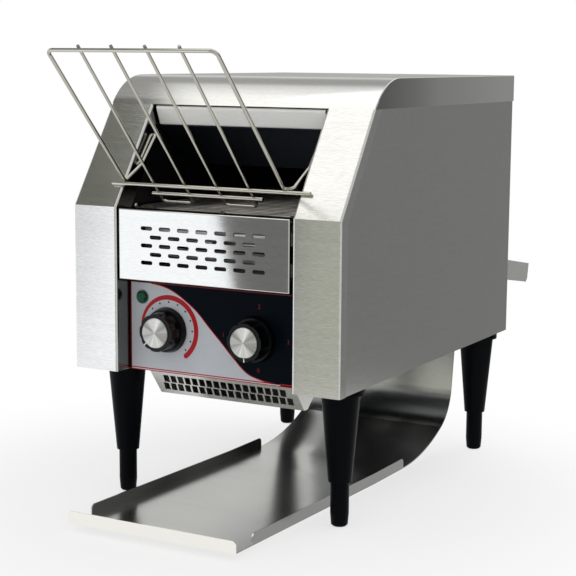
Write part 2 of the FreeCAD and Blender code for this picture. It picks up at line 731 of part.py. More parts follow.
def lower_heater_places():
    """(y, z) of the tubes inside the belt's loop."""
    span = REAR_SHAFT_BACK - FRONT_SHAFT_BACK
    z = SHAFT_Z - LOWER_HEATER_DROP
    return [(FRONT_SHAFT_BACK + share * span, z) for share in HEATER_BACK_SHARES]


def right_inner_wall():
    """The chamber's side wall, which carries the shafts and the ends of the heating tubes."""
    front = front_line(WALL_FRONT_GAP)
    rear = BODY_DEPTH - 2 * SHEET - 2 * FIT_GAP
    outline = [
        (front[0][0], Z_PAN),
        front[1],
        (front[2][0], Z_CAP - WALL_TOP_GAP),
        (rear, Z_CAP - WALL_TOP_GAP),
        (rear, Z_PAN),
    ]
    plate = side_prism(outline, WALL_X, WALL_X + SHEET)
    x0 = WALL_X - OVERRUN
    x1 = WALL_X + OVERRUN
    cuts = []
    for y, z in shaft_places():
        cuts.append(cylinder(BUSH_RADIUS, Vector(x0, y, z), Vector(x1, y, z)))
    for y, z in upper_heater_places() + lower_heater_places():
        cuts.append(cylinder(HEATER_END_RADIUS, Vector(x0, y, z), Vector(x1, y, z)))
    cuts.append(cylinder(WALL_PIN_HOLE_RADIUS, Vector(x0, PIN_Y, PIN_Z), Vector(x1, PIN_Y, PIN_Z)))
    return plate.cut(cuts)


def front_vent_cover():
    """The slotted front cover: a shallow folded box with two fixing tabs at each end."""
    outer = box(-COVER_HALF, COVER_HALF, 0, COVER_DEPTH, COVER_BOTTOM, COVER_TOP)
    front_edges = [edge for edge in outer.Edges if edge.CenterOfMass.y < FIT_GAP]
    outer = outer.makeFillet(BEND_RADIUS, front_edges)
    inner = box(
        -COVER_HALF + SHEET, COVER_HALF - SHEET, SHEET, COVER_DEPTH + OVERRUN,
        COVER_BOTTOM + SHEET, COVER_TOP - SHEET,
    )
    shell = outer.cut(inner)
    ledge = box(
        -COVER_HALF, COVER_HALF, COVER_DEPTH, PANEL_RECESS, COVER_BOTTOM, COVER_BOTTOM + SHEET
    )
    pieces = [shell, ledge]
    middle = (COVER_TOP + COVER_BOTTOM) / 2
    for side in (-1, 1):
        for level in (-1, 1):
            z = middle + level * COVER_TAB_SPACING / 2
            inner_x = side * (COVER_HALF - SHEET)
            outer_x = side * (OPENING_HALF - FIT_GAP / 2)
            pieces.append(
                box(
                    min(inner_x, outer_x), max(inner_x, outer_x), COVER_DEPTH - SHEET, COVER_DEPTH,
                    z - COVER_TAB_HEIGHT / 2, z + COVER_TAB_HEIGHT / 2,
                )
            )
    body = fuse(pieces)
    cuts = []
    for row in range(SLOT_ROWS):
        count = SLOTS_LONG_ROW - row % 2
        z = COVER_TOP - SLOT_BLOCK_DROP + (SLOT_ROWS / 2 - row - 1 / 2) * SLOT_PITCH_Z
        for step in range(count):
            x = (step - (count - 1) / 2) * SLOT_PITCH_X
            cuts.append(slot(x, z, -OVERRUN, SHEET + OVERRUN, SLOT_LENGTH, SLOT_WIDTH))
    return body.cut(cuts)


def control_panel():
    """The recessed front of the control box, folded back along its lower edge."""
    plate = box(
        -PANEL_HALF, PANEL_HALF, PANEL_RECESS, PANEL_RECESS + SHEET,
        Z_BOTTOM, COVER_BOTTOM - FIT_GAP / 2,
    )
    y0 = PANEL_RECESS - OVERRUN
    y1 = PANEL_RECESS + SHEET + OVERRUN
    cuts = []
    hole = BUSHING_RADIUS + BUSHING_HOLE_PLAY
    for x in (SPEED_KNOB_X, SELECTOR_KNOB_X):
        cuts.append(cylinder(hole, Vector(x, y0, KNOB_Z), Vector(x, y1, KNOB_Z)))
    cuts.append(cylinder(LAMP_HOLE_RADIUS, Vector(LAMP_X, y0, LAMP_Z), Vector(LAMP_X, y1, LAMP_Z)))
    return plate.cut(cuts)


def lower_vent_grille():
    """The air scoop below the controls, with two rows of leaning lozenges in its front."""
    bottom = Z_BOTTOM - SCOOP_DROP
    front_low = SCOOP_SETBACK + SCOOP_RUN
    rear_low = front_low + SCOOP_FLOOR
    outer_outline = [
        (SCOOP_SETBACK, Z_BOTTOM),
        (front_low, bottom),
        (rear_low, bottom),
        (rear_low + SCOOP_REAR_RUN, Z_BOTTOM),
    ]
    tilt = math.atan2(SCOOP_DROP, SCOOP_RUN)
    rear_tilt = math.atan2(SCOOP_DROP, SCOOP_REAR_RUN)
    front_step = SHEET / math.sin(tilt)
    rear_step = SHEET / math.sin(rear_tilt)
    floor_front = SHEET * math.tan(tilt / 2)
    floor_rear = SHEET * math.tan(rear_tilt / 2)
    rise = OVERRUN / math.tan(tilt)
    rear_rise = OVERRUN / math.tan(rear_tilt)
    inner_outline = [
        (SCOOP_SETBACK + front_step - rise, Z_BOTTOM + OVERRUN),
        (front_low + floor_front, bottom + SHEET),
        (rear_low - floor_rear, bottom + SHEET),
        (rear_low + SCOOP_REAR_RUN - rear_step + rear_rise, Z_BOTTOM + OVERRUN),
    ]
    outer = side_prism(outer_outline, -SCOOP_HALF_WIDTH, SCOOP_HALF_WIDTH)
    inner = side_prism(inner_outline, -SCOOP_HALF_WIDTH + SHEET, SCOOP_HALF_WIDTH - SHEET)
    down = Vector(0, math.cos(tilt), -math.sin(tilt))
    inward = Vector(0, math.sin(tilt), math.cos(tilt))
    top = Vector(0, SCOOP_SETBACK, Z_BOTTOM)
    cuts = [inner]
    for row in range(2):
        count = LOZENGES_LOW_ROW - 1 + row
        centre = top + down * (LOZENGE_TOP_ROW + row * LOZENGE_ROW_PITCH) - inward * OVERRUN
        for step in range(count):
            middle = centre + Vector((step - (count - 1) / 2) * LOZENGE_PITCH, 0, 0)
            half_w = Vector(LOZENGE_WIDTH / 2, 0, 0)
            half_h = down * (LOZENGE_HEIGHT / 2)
            lean = Vector(LOZENGE_LEAN / 2, 0, 0)
            corners = [
                middle - half_w - half_h + lean,
                middle + half_w - half_h + lean,
                middle + half_w + half_h - lean,
                middle - half_w + half_h - lean,
            ]
            cuts.append(prism(corners, inward * (2 * OVERRUN)))
    return outer.cut(cuts)


def chamber_floor():
    """The sheet under the belt, which keeps the heat off the controls."""
    front = COLUMN_RETURN + SHEET + FIT_GAP
    path = [
        (front, COVER_BOTTOM + SHEET + FIT_GAP),
        (front, FLOOR_UNDERSIDE),
        (FLOOR_REAR, FLOOR_UNDERSIDE),
        (FLOOR_REAR, FLOOR_UNDERSIDE - FLOOR_LIP),
    ]
    return sheet_path(path, -1, -LINER_HALF, LINER_HALF)


def control_bulkhead():
    """The wall between the control box and the toast drop."""
    return box(
        -LINER_HALF, LINER_HALF, BULKHEAD_BACK - SHEET, BULKHEAD_BACK, Z_PAN, FLOOR_UNDERSIDE
    )


def entry_rail():
    """The bright folded rail over the bread opening."""
    top = Z_CAP - RAIL_BELOW_CAP
    path = [
        (RAIL_TOP_BACK + RAIL_RETURN, top),
        (RAIL_TOP_BACK, top),
        (RAIL_BOTTOM_BACK, top - RAIL_FACE),
        (RAIL_BOTTOM_BACK + RAIL_RETURN / 3, top - RAIL_FACE),
    ]
    return sheet_path(path, 1, -RAIL_HALF_WIDTH, RAIL_HALF_WIDTH)


def entry_guide():
    """The dark sheet that leads the bread down under the upper tubes."""
    top = Z_CAP - RAIL_BELOW_CAP - RAIL_FACE - 2 * SHEET
    path = [
        (RAIL_BOTTOM_BACK + SHEET, top),
        (GUIDE_REAR, GUIDE_BOTTOM + SHEET),
        (GUIDE_REAR + GUIDE_HEM, GUIDE_BOTTOM + SHEET),
    ]
    return sheet_path(path, -1, -GUIDE_HALF_WIDTH, GUIDE_HALF_WIDTH)


def upper_reflector():
    """The trough above the upper tubes."""
    low = GUIDE_BOTTOM + 2 * SHEET + REFLECTOR_SEAT_GAP
    front = GUIDE_REAR + REFLECTOR_SETBACK
    path = [
        (front, low),
        (front + REFLECTOR_SLOPE_RUN, REFLECTOR_TOP),
        (REFLECTOR_REAR - REFLECTOR_SLOPE_RUN, REFLECTOR_TOP),
        (REFLECTOR_REAR, low),
    ]
    return sheet_path(path, 1, -LINER_HALF, LINER_HALF)


def lower_reflector():
    """The shallow tray under the lower tubes, inside the belt's loop."""
    reach = BELT_RADIUS + RUNG_RADIUS + LOWER_REFLECTOR_CLEARANCE
    low = SHAFT_Z - LOWER_REFLECTOR_DROP
    path = [
        (FRONT_SHAFT_BACK + reach - LOWER_REFLECTOR_LIP, low + LOWER_REFLECTOR_LIP),
        (FRONT_SHAFT_BACK + reach, low),
        (REAR_SHAFT_BACK - reach, low),
        (REAR_SHAFT_BACK - reach + LOWER_REFLECTOR_LIP, low + LOWER_REFLECTOR_LIP),
    ]
    return sheet_path(path, -1, -LINER_HALF, LINER_HALF)


def rear_deflector():
    """The bent sheet behind the belt that turns the toast down into the chute."""
    path = [
        (REFLECTOR_REAR + SHEET, REFLECTOR_TOP),
        (DEFLECTOR_REAR, REFLECTOR_TOP),
        (DEFLECTOR_REAR + DEFLECTOR_SETBACK, Z_PAN + DEFLECTOR_END_RISE),
    ]
    return sheet_path(path, 1, -LINER_HALF, LINER_HALF, DEFLECTOR_RADIUS)


def heater_tubes():
    """Straight quartz tubes across the chamber, two over the belt and two inside its loop."""
    reach = WALL_X + SHEET + HEATER_END_LENGTH / 3
    tubes = []
    for y, z in upper_heater_places() + lower_heater_places():
        tubes.append(cylinder(HEATER_RADIUS, Vector(-reach, y, z), Vector(reach, y, z)))
    return Part.makeCompound(tubes)


def heater_end_caps():
    """Ceramic ends that hold the tubes in the side walls."""
    caps = []
    inner_x = WALL_X - HEATER_END_INSIDE
    tube_end = WALL_X + SHEET + HEATER_END_LENGTH / 3 + FIT_GAP
    for y, z in upper_heater_places() + lower_heater_places():
        cap = lathe(
            [
                (HEATER_RADIUS + HEATER_SOCKET_PLAY, 0),
                (HEATER_END_RADIUS, 0),
                (HEATER_END_RADIUS, HEATER_END_LENGTH),
                (0, HEATER_END_LENGTH),
                (0, tube_end - inner_x),
                (HEATER_RADIUS + HEATER_SOCKET_PLAY, tube_end - inner_x),
            ],
            Vector(inner_x, y, z),
            Vector(1, 0, 0),
        )
        caps.append(cap)
        caps.append(mirrored(cap))
    return Part.makeCompound(caps)


def shaft_bushes():
    """Flanged bushes of both shafts, in the side walls."""
    bushes = []
    bore = SHAFT_RADIUS + SHAFT_PLAY
    for y, z in shaft_places():
        bush = lathe(
            [
                (bore, 0),
                (BUSH_FLANGE_RADIUS, 0),
                (BUSH_FLANGE_RADIUS, BUSH_FLANGE),
                (BUSH_RADIUS, BUSH_FLANGE),
                (BUSH_RADIUS, BUSH_LENGTH),
                (bore, BUSH_LENGTH),
            ],
            Vector(WALL_X - BUSH_FLANGE, y, z),
            Vector(1, 0, 0),
        )
        bushes.append(bush)
        bushes.append(mirrored(bush))
    return Part.makeCompound(bushes)


def rung_places():
    """(y, z) of every rung of the endless belt, one pitch apart."""
    places = []
    for step in range(BELT_SPAN_LINKS):
        places.append((FRONT_SHAFT_BACK + step * BELT_PITCH, SHAFT_Z + BELT_RADIUS))
        places.append((REAR_SHAFT_BACK - step * BELT_PITCH, SHAFT_Z - BELT_RADIUS))
    for step in range(BELT_TEETH // 2):
        turn = 2 * math.pi * step / BELT_TEETH
        back = BELT_RADIUS * math.sin(turn)
        up = BELT_RADIUS * math.cos(turn)
        places.append((REAR_SHAFT_BACK + back, SHAFT_Z + up))
        places.append((FRONT_SHAFT_BACK - back, SHAFT_Z - up))
    return places


def half_circle(start, middle, end):
    """An arc edge through three points."""
    return Part.Arc(start, middle, end).toShape()


def belt_loop(radius, x0, x1):
    """A solid with the belt's closed outline at one distance from the shafts."""
    top = SHAFT_Z + radius
    low = SHAFT_Z - radius
    front = FRONT_SHAFT_BACK
    rear = REAR_SHAFT_BACK
    edges = [
        Part.LineSegment(Vector(x0, front, top), Vector(x0, rear, top)).toShape(),
        half_circle(Vector(x0, rear, top), Vector(x0, rear + radius, SHAFT_Z), Vector(x0, rear, low)),
        Part.LineSegment(Vector(x0, rear, low), Vector(x0, front, low)).toShape(),
        half_circle(Vector(x0, front, low), Vector(x0, front - radius, SHAFT_Z), Vector(x0, front, top)),
    ]
    return Part.Face(Part.Wire(edges)).extrude(Vector(x1 - x0, 0, 0))


def conveyor_belt():
    """Cross rungs between two edge bands."""
    pieces = []
    for y, z in rung_places():
        pieces.append(cylinder(RUNG_RADIUS, Vector(-BELT_HALF_WIDTH, y, z), Vector(BELT_HALF_WIDTH, y, z)))
    x0 = BELT_HALF_WIDTH
    x1 = BELT_HALF_WIDTH + BELT_BAND_THICKNESS
    outer = belt_loop(BELT_RADIUS + BELT_BAND_HEIGHT / 2, x0, x1)
    inner = belt_loop(BELT_RADIUS - BELT_BAND_HEIGHT / 2, x0 - OVERRUN, x1 + OVERRUN)
    band = outer.cut(inner)
    pieces.append(band)
    pieces.append(mirrored(band))
    return Part.makeCompound(pieces)


def belt_sprockets(y, z):
    """Three toothed discs on one shaft; each gullet holds a rung."""
    gullet = BELT_RADIUS - RUNG_RADIUS - SPROCKET_GULLET_GAP
    tip = BELT_RADIUS + SPROCKET_TIP
    half_gap = RUNG_RADIUS + SPROCKET_GULLET_GAP
    discs = []
    for share in SPROCKET_X_POSITIONS_SHARES:
        middle = share * BELT_HALF_WIDTH
        x0 = middle - SPROCKET_THICKNESS / 2
        points = []
        for tooth in range(BELT_TEETH):
            turn = math.pi / 2 + 2 * math.pi * tooth / BELT_TEETH
            low_turn = math.asin(half_gap / gullet)
            high_turn = math.asin(half_gap / tip)
            corners = [(tip, -high_turn), (gullet, -low_turn), (gullet, low_turn), (tip, high_turn)]
            for radius, offset in corners:
                at_y = y + radius * math.cos(turn + offset)
                at_z = z + radius * math.sin(turn + offset)
                points.append(Vector(x0, at_y, at_z))
        disc = prism(points, Vector(SPROCKET_THICKNESS, 0, 0))
        hub_half = Vector(SPROCKET_HUB_LENGTH / 2, 0, 0)
        centre = Vector(middle, y, z)
        hub = cylinder(SPROCKET_HUB_RADIUS, centre - hub_half, centre + hub_half)
        bore = cylinder(SHAFT_RADIUS, centre - hub_half * 2, centre + hub_half * 2)
        discs.append(disc.fuse(hub).cut(bore))
    return Part.makeCompound(discs)


def conveyor_shaft(y, z):
    """A plain round shaft that ends just outside its bushes."""
    reach = WALL_X - BUSH_FLANGE + BUSH_LENGTH + COUPLING_GAP
    return cylinder(SHAFT_RADIUS, Vector(-reach, y, z), Vector(reach, y, z))


def drive_coupling():
    """The sleeve that joins the motor's shaft to the front conveyor shaft."""
    start = WALL_X - BUSH_FLANGE + BUSH_LENGTH + COUPLING_GAP
    y, z = shaft_places()[0]
    sleeve = cylinder(COUPLING_RADIUS, Vector(start, y, z), Vector(start + COUPLING_LENGTH, y, z))
    bore = cylinder(MOTOR_SHAFT_RADIUS, Vector(start, y, z), Vector(start + COUPLING_LENGTH, y, z))
    return sleeve.cut(bore)


def motor_output_shaft():
    """The thin shaft from the coupling into the gearbox."""
    start = WALL_X - BUSH_FLANGE + BUSH_LENGTH + COUPLING_GAP
    y, z = shaft_places()[0]
    return cylinder(
        MOTOR_SHAFT_RADIUS, Vector(start, y, z),
        Vector(start + COUPLING_LENGTH + MOTOR_SHAFT_LENGTH, y, z),
    )


def gear_motor():
    """The gear motor on its plate and standoffs, beside the front shaft."""
    y, z = shaft_places()[0]
    wall = WALL_X + SHEET
    coupling_end = WALL_X - BUSH_FLANGE + BUSH_LENGTH + COUPLING_GAP + COUPLING_LENGTH
    plate_x = coupling_end + COUPLING_GAP
    gearbox_x = plate_x + MOTOR_PLATE
    motor_x = gearbox_x + GEARBOX_LENGTH
    end_x = motor_x + MOTOR_LENGTH
    plate = box(
        plate_x, gearbox_x, y - MOTOR_PLATE_WIDTH / 2, y + MOTOR_PLATE_WIDTH / 2,
        z - MOTOR_PLATE_HEIGHT / 2, z + MOTOR_PLATE_HEIGHT / 2,
    )
    pieces = [
        plate,
        cylinder(GEARBOX_RADIUS, Vector(gearbox_x, y, z), Vector(motor_x, y, z)),
        cylinder(MOTOR_RADIUS, Vector(motor_x, y, z), Vector(end_x, y, z)),
    ]
    for side in (-1, 1):
        at = y + side * MOTOR_STANDOFF_SPREAD
        pieces.append(cylinder(MOTOR_STANDOFF_RADIUS, Vector(wall, at, z), Vector(plate_x, at, z)))
    bore_end = coupling_end + MOTOR_SHAFT_LENGTH + COUPLING_GAP
    bore = cylinder(
        MOTOR_SHAFT_RADIUS + SHAFT_PLAY, Vector(plate_x - OVERRUN, y, z), Vector(bore_end, y, z)
    )
    return fuse(pieces).cut(bore)


def leg(x, y):
    """A moulded leg: rim, tapered body, stud on top and the bore that the foot slides in."""
    bore = FOOT_RADIUS + FOOT_PLAY
    bore_top = FOOT_STANDOUT + FOOT_INSERT + FOOT_TRAVEL + FOOT_EDGE
    profile = [
        (0, Z_BOTTOM + STUD_LENGTH),
        (STUD_RADIUS, Z_BOTTOM + STUD_LENGTH),
        (STUD_RADIUS, Z_BOTTOM),
        (LEG_RIM_RADIUS, Z_BOTTOM),
        (LEG_RIM_RADIUS, Z_BOTTOM - LEG_RIM),
        (LEG_TOP_RADIUS, Z_BOTTOM - LEG_RIM),
        (LEG_END_RADIUS, FOOT_STANDOUT),
        (bore, FOOT_STANDOUT),
        (bore, bore_top),
        (0, bore_top),
    ]
    return lathe(profile, Vector(x, y, 0), Vector(0, 0, 1))


def foot(x, y):
    """The adjustable foot, shown screwed out as far as it goes."""
    profile = [
        (0, 0),
        (FOOT_END_RADIUS - FOOT_EDGE, 0),
        (FOOT_END_RADIUS, FOOT_EDGE),
        (FOOT_RADIUS, FOOT_TAPER),
        (FOOT_RADIUS, FOOT_STANDOUT + FOOT_INSERT),
        (0, FOOT_STANDOUT + FOOT_INSERT),
    ]
    return lathe(profile, Vector(x, y, 0), Vector(0, 0, 1))


def leg_nuts():
    """The nuts that clamp the legs to the base pan."""
    nuts = []
    for x, y in LEG_PLACES.values():
        nut = hexagon(NUT_WIDTH, Vector(x, y, Z_PAN), Vector(0, 0, NUT_HEIGHT))
        hole = cylinder(STUD_RADIUS, Vector(x, y, Z_PAN), Vector(x, y, Z_PAN + NUT_HEIGHT))
        nuts.append(nut.cut(hole))
    return Part.makeCompound(nuts)


def knob_rear():
    """Y of the rear face of both knobs."""
    return PANEL_RECESS - KNOB_PANEL_GAP


def knob_front():
    """Y of the front face of both grips, under the metal caps."""
    return knob_rear() - KNOB_SKIRT_HEIGHT - KNOB_GRIP_HEIGHT


def knob_grip(x):
    """The moulded knob: round skirt, lobed grip, hollow back and spindle bore."""
    rear = knob_rear()
    forward = Vector(0, -1, 0)
    skirt = lathe(
        [
            (0, 0),
            (KNOB_SKIRT_RADIUS, 0),
            (KNOB_SKIRT_EDGE_RADIUS, KNOB_SKIRT_HEIGHT),
            (0, KNOB_SKIRT_HEIGHT),
        ],
        Vector(x, rear, KNOB_Z),
        forward,
    )
    grip = lathe(
        [
            (0, KNOB_SKIRT_HEIGHT / 2),
            (KNOB_GRIP_RADIUS, KNOB_SKIRT_HEIGHT / 2),
            (KNOB_GRIP_TOP_RADIUS, KNOB_SKIRT_HEIGHT + KNOB_GRIP_HEIGHT),
            (0, KNOB_SKIRT_HEIGHT + KNOB_GRIP_HEIGHT),
        ],
        Vector(x, rear, KNOB_Z),
        forward,
    )
    reach = KNOB_GRIP_RADIUS + KNOB_SCALLOP_RADIUS - KNOB_SCALLOP_DEPTH
    start = rear - KNOB_SKIRT_HEIGHT
    scallops = []
    for lobe in range(KNOB_LOBES):
        turn = math.pi * (2 * lobe + 1) / KNOB_LOBES
        at_x = x + reach * math.cos(turn)
        at_z = KNOB_Z + reach * math.sin(turn)
        end = Vector(at_x, knob_front() - OVERRUN, at_z)
        scallops.append(cylinder(KNOB_SCALLOP_RADIUS, Vector(at_x, start, at_z), end))
    body = skirt.fuse(grip.cut(scallops))
    back = Vector(x, rear + OVERRUN, KNOB_Z)
    hollow = cylinder(KNOB_HOLLOW_RADIUS, back, Vector(x, rear - KNOB_HOLLOW_DEPTH, KNOB_Z))
    bore = cylinder(SPINDLE_RADIUS, back, Vector(x, rear - KNOB_BORE_DEPTH, KNOB_Z))
    return body.cut([hollow, bore])


def knob_cap(x):
    """The spun metal disc on the front of a knob."""
    return lathe(
        [
            (0, 0),
            (KNOB_CAP_RADIUS, 0),
            (KNOB_CAP_RADIUS, KNOB_CAP_HEIGHT - KNOB_CAP_EDGE),
            (KNOB_CAP_RADIUS - KNOB_CAP_EDGE, KNOB_CAP_HEIGHT),
            (0, KNOB_CAP_HEIGHT),
        ],
        Vector(x, knob_front(), KNOB_Z),
        Vector(0, -1, 0),
    )


def spindle(x):
    """The shaft that a knob turns."""
    front = Vector(x, knob_rear() - KNOB_BORE_DEPTH, KNOB_Z)
    return cylinder(SPINDLE_RADIUS, front, front + Vector(0, SPINDLE_LENGTH, 0))


def bushing(x, rear):
    """The threaded neck of a control, from in front of the panel to its body."""
    front = PANEL_RECESS - BUSHING_STANDOUT
    return cylinder(BUSHING_RADIUS, Vector(x, front, KNOB_Z), Vector(x, rear, KNOB_Z))


def spindle_hole(x):
    """The running bore of a control."""
    front = PANEL_RECESS - BUSHING_STANDOUT
    return cylinder(
        SPINDLE_RADIUS + SPINDLE_PLAY, Vector(x, front - OVERRUN, KNOB_Z),
        Vector(x, front + SPINDLE_HOLE_LENGTH, KNOB_Z),
    )


def speed_control():
    """The rotary speed control with its circuit board."""
    x = SPEED_KNOB_X
    board_y = PANEL_RECESS + SHEET + BOARD_SETBACK
    board = box(
        x - BOARD_WIDTH / 2, x + BOARD_WIDTH / 2, board_y, board_y + BOARD_THICKNESS,
        KNOB_Z - BOARD_HEIGHT / 2, KNOB_Z + BOARD_HEIGHT / 2,
    )
    panel_rear = PANEL_RECESS + SHEET
    collar = cylinder(BUSHING_RADIUS + SHEET, Vector(x, panel_rear, KNOB_Z), Vector(x, board_y, KNOB_Z))
    can = cylinder(
        CONTROL_CAN_RADIUS, Vector(x, board_y + BOARD_THICKNESS, KNOB_Z),
        Vector(x, board_y + BOARD_THICKNESS + CONTROL_CAN_LENGTH, KNOB_Z),
    )
    return fuse([board, collar, can, bushing(x, board_y)]).cut(spindle_hole(x))


def selector_switch():
    """The rotary heat switch."""
    x = SELECTOR_KNOB_X
    front = PANEL_RECESS + SHEET
    half = SWITCH_WIDTH / 2
    body = box(x - half, x + half, front, front + SWITCH_LENGTH, KNOB_Z - half, KNOB_Z + half)
    long_edges = [edge for edge in body.Edges if abs(edge.BoundBox.YLength - SWITCH_LENGTH) < FIT_GAP]
    body = body.makeChamfer(SWITCH_CORNER, long_edges)
    return body.fuse(bushing(x, front + BUSHING_STANDOUT)).removeSplitter().cut(spindle_hole(x))


def pilot_lamp_body():
    """The lamp's rim in front of the panel and its barrel behind it."""
    rim = lathe(
        [
            (LAMP_LENS_RADIUS, 0),
            (LAMP_RIM_RADIUS, 0),
            (LAMP_RIM_RADIUS, LAMP_RIM),
            (LAMP_LENS_RADIUS, LAMP_RIM),
        ],
        Vector(LAMP_X, PANEL_RECESS, LAMP_Z),
        Vector(0, -1, 0),
    )
    barrel = cylinder(
        LAMP_HOLE_RADIUS, Vector(LAMP_X, PANEL_RECESS - LAMP_RIM / 2, LAMP_Z),
        Vector(LAMP_X, PANEL_RECESS + LAMP_BODY_LENGTH, LAMP_Z),
    )
    return fuse([rim, barrel])


def pilot_lens():
    """The green lens in the lamp's rim."""
    return lathe(
        [
            (0, 0),
            (LAMP_LENS_RADIUS, 0),
            (LAMP_LENS_RADIUS, LAMP_LENS_HEIGHT - LAMP_LENS_EDGE),
            (LAMP_LENS_RADIUS - LAMP_LENS_EDGE, LAMP_LENS_HEIGHT),
            (0, LAMP_LENS_HEIGHT),
        ],
        Vector(LAMP_X, PANEL_RECESS - LAMP_RIM / 2, LAMP_Z),
        Vector(0, -1, 0),
    )


def fan_frame():
    """The square fan housing with its struts and bearing hub."""
    half = FAN_SIZE / 2
    bottom = Z_PAN
    top = Z_PAN + FAN_HEIGHT
    block = box(FAN_X - half, FAN_X + half, FAN_BACK - half, FAN_BACK + half, bottom, top)
    corners = [edge for edge in block.Edges if abs(edge.BoundBox.ZLength - FAN_HEIGHT) < FIT_GAP]
    block = block.makeFillet(FAN_CORNER, corners)
    bore = cylinder(FAN_BORE_RADIUS, Vector(FAN_X, FAN_BACK, bottom), Vector(FAN_X, FAN_BACK, top))
    pieces = [block.cut(bore)]
    hub_top = Vector(FAN_X, FAN_BACK, bottom + FAN_HUB_FLOOR)
    pieces.append(cylinder(FAN_HUB_RADIUS, Vector(FAN_X, FAN_BACK, bottom), hub_top))
    for step in range(FAN_STRUTS):
        strut = box(
            FAN_X, FAN_X + FAN_BORE_RADIUS + FAN_STRUT_WIDTH / 2, FAN_BACK - FAN_STRUT_WIDTH / 2,
            FAN_BACK + FAN_STRUT_WIDTH / 2, bottom, bottom + FAN_HUB_FLOOR,
        )
        turn = 360 * (step + 1 / 2) / FAN_STRUTS
        strut.rotate(Vector(FAN_X, FAN_BACK, 0), Vector(0, 0, 1), turn)
        pieces.append(strut)
    pin_hole = cylinder(
        FAN_PIN_RADIUS + FAN_PIN_PLAY, Vector(FAN_X, FAN_BACK, bottom - OVERRUN),
        Vector(FAN_X, FAN_BACK, bottom + FAN_HUB_FLOOR + OVERRUN),
    )
    return fuse(pieces).cut(pin_hole)


def fan_rotor():
    """The fan's hub, blades and pin."""
    low = Z_PAN + FAN_HUB_FLOOR + FAN_AXIAL_GAP
    hub_low = Vector(FAN_X, FAN_BACK, low)
    hub = cylinder(FAN_HUB_RADIUS, hub_low, hub_low + Vector(0, 0, FAN_HUB_HEIGHT))
    pin = cylinder(FAN_PIN_RADIUS, Vector(FAN_X, FAN_BACK, Z_PAN), hub_low)
    pieces = [hub, pin]
    middle = low + FAN_HUB_HEIGHT / 2
    inner = FAN_HUB_RADIUS - FAN_BLADE_THICKNESS
    for step in range(FAN_BLADES):
        blade = box(
            FAN_X + inner, FAN_X + FAN_BLADE_RADIUS,
            FAN_BACK - FAN_BLADE_THICKNESS / 2, FAN_BACK + FAN_BLADE_THICKNESS / 2,
            middle - FAN_BLADE_HEIGHT / 2, middle + FAN_BLADE_HEIGHT / 2,
        )
        blade.rotate(Vector(FAN_X, FAN_BACK, middle), Vector(1, 0, 0), FAN_BLADE_PITCH_ANGLE)
        blade.rotate(Vector(FAN_X, FAN_BACK, 0), Vector(0, 0, 1), 360 * step / FAN_BLADES)
        pieces.append(blade)
    limit = cylinder(
        FAN_BLADE_RADIUS, Vector(FAN_X, FAN_BACK, Z_PAN), Vector(FAN_X, FAN_BACK, Z_PAN + FAN_HEIGHT)
    )
    return fuse(pieces).common(limit)


def terminal_block():
    """The screw terminals on the base pan, with grooves between the poles."""
    x0 = TERMINAL_X - TERMINAL_WIDTH / 2
    y0 = TERMINAL_BACK - TERMINAL_DEPTH / 2
    y1 = y0 + TERMINAL_DEPTH
    top = Z_PAN + TERMINAL_HEIGHT
    half_groove = TERMINAL_GROOVE / 2
    body = box(x0, x0 + TERMINAL_WIDTH, y0, y1, Z_PAN, top)
    cuts = []
    for pole in range(1, TERMINAL_POLES):
        at = x0 + pole * TERMINAL_WIDTH / TERMINAL_POLES
        cuts.append(
            box(
                at - half_groove, at + half_groove, y0 - OVERRUN, y1 + OVERRUN,
                top - TERMINAL_GROOVE_DEPTH, top + OVERRUN,
            )
        )
    return body.cut(cuts)


def cord_gland():
    """The gland in the rear panel where a supply cord enters."""
    z = Z_BOTTOM + GLAND_RISE
    face = Vector(GLAND_X, BODY_DEPTH, z)
    nut = hexagon(GLAND_FLANGE_WIDTH, face, Vector(0, GLAND_FLANGE, 0))
    dome = lathe(
        [
            (0, 0),
            (GLAND_DOME_RADIUS, 0),
            (GLAND_DOME_RADIUS, GLAND_DOME_LENGTH - GLAND_DOME_EDGE),
            (GLAND_DOME_RADIUS - GLAND_DOME_EDGE, GLAND_DOME_LENGTH),
            (0, GLAND_DOME_LENGTH),
        ],
        face + Vector(0, GLAND_FLANGE, 0),
        Vector(0, 1, 0),
    )
    inner_end = face - Vector(0, SHEET + GLAND_THREAD_LENGTH, 0)
    thread = cylinder(GLAND_THREAD_RADIUS, inner_end, face)
    bore = cylinder(
        GLAND_BORE_RADIUS, inner_end - Vector(0, OVERRUN, 0),
        face + Vector(0, GLAND_FLANGE + GLAND_DOME_LENGTH + OVERRUN, 0),
    )
    return fuse([nut, dome, thread]).cut(bore)


def rear_panel_screws():
    """The pan-head screws along both edges of the rear panel."""
    screws = []
    x = PANEL_FACE_X - SCREW_EDGE_INSET
    for share in SCREW_ROWS_SHARES:
        z = Z_BOTTOM + share * (Z_CAP - Z_BOTTOM)
        head = lathe(
            [
                (0, 0),
                (SCREW_HEAD_RADIUS, 0),
                (SCREW_HEAD_RADIUS, SCREW_HEAD - SCREW_HEAD_EDGE),
                (SCREW_HEAD_RADIUS - SCREW_HEAD_EDGE, SCREW_HEAD),
                (0, SCREW_HEAD),
            ],
            Vector(x, BODY_DEPTH, z),
            Vector(0, 1, 0),
        )
        screws.append(head)
        screws.append(mirrored(head))
    return Part.makeCompound(screws)


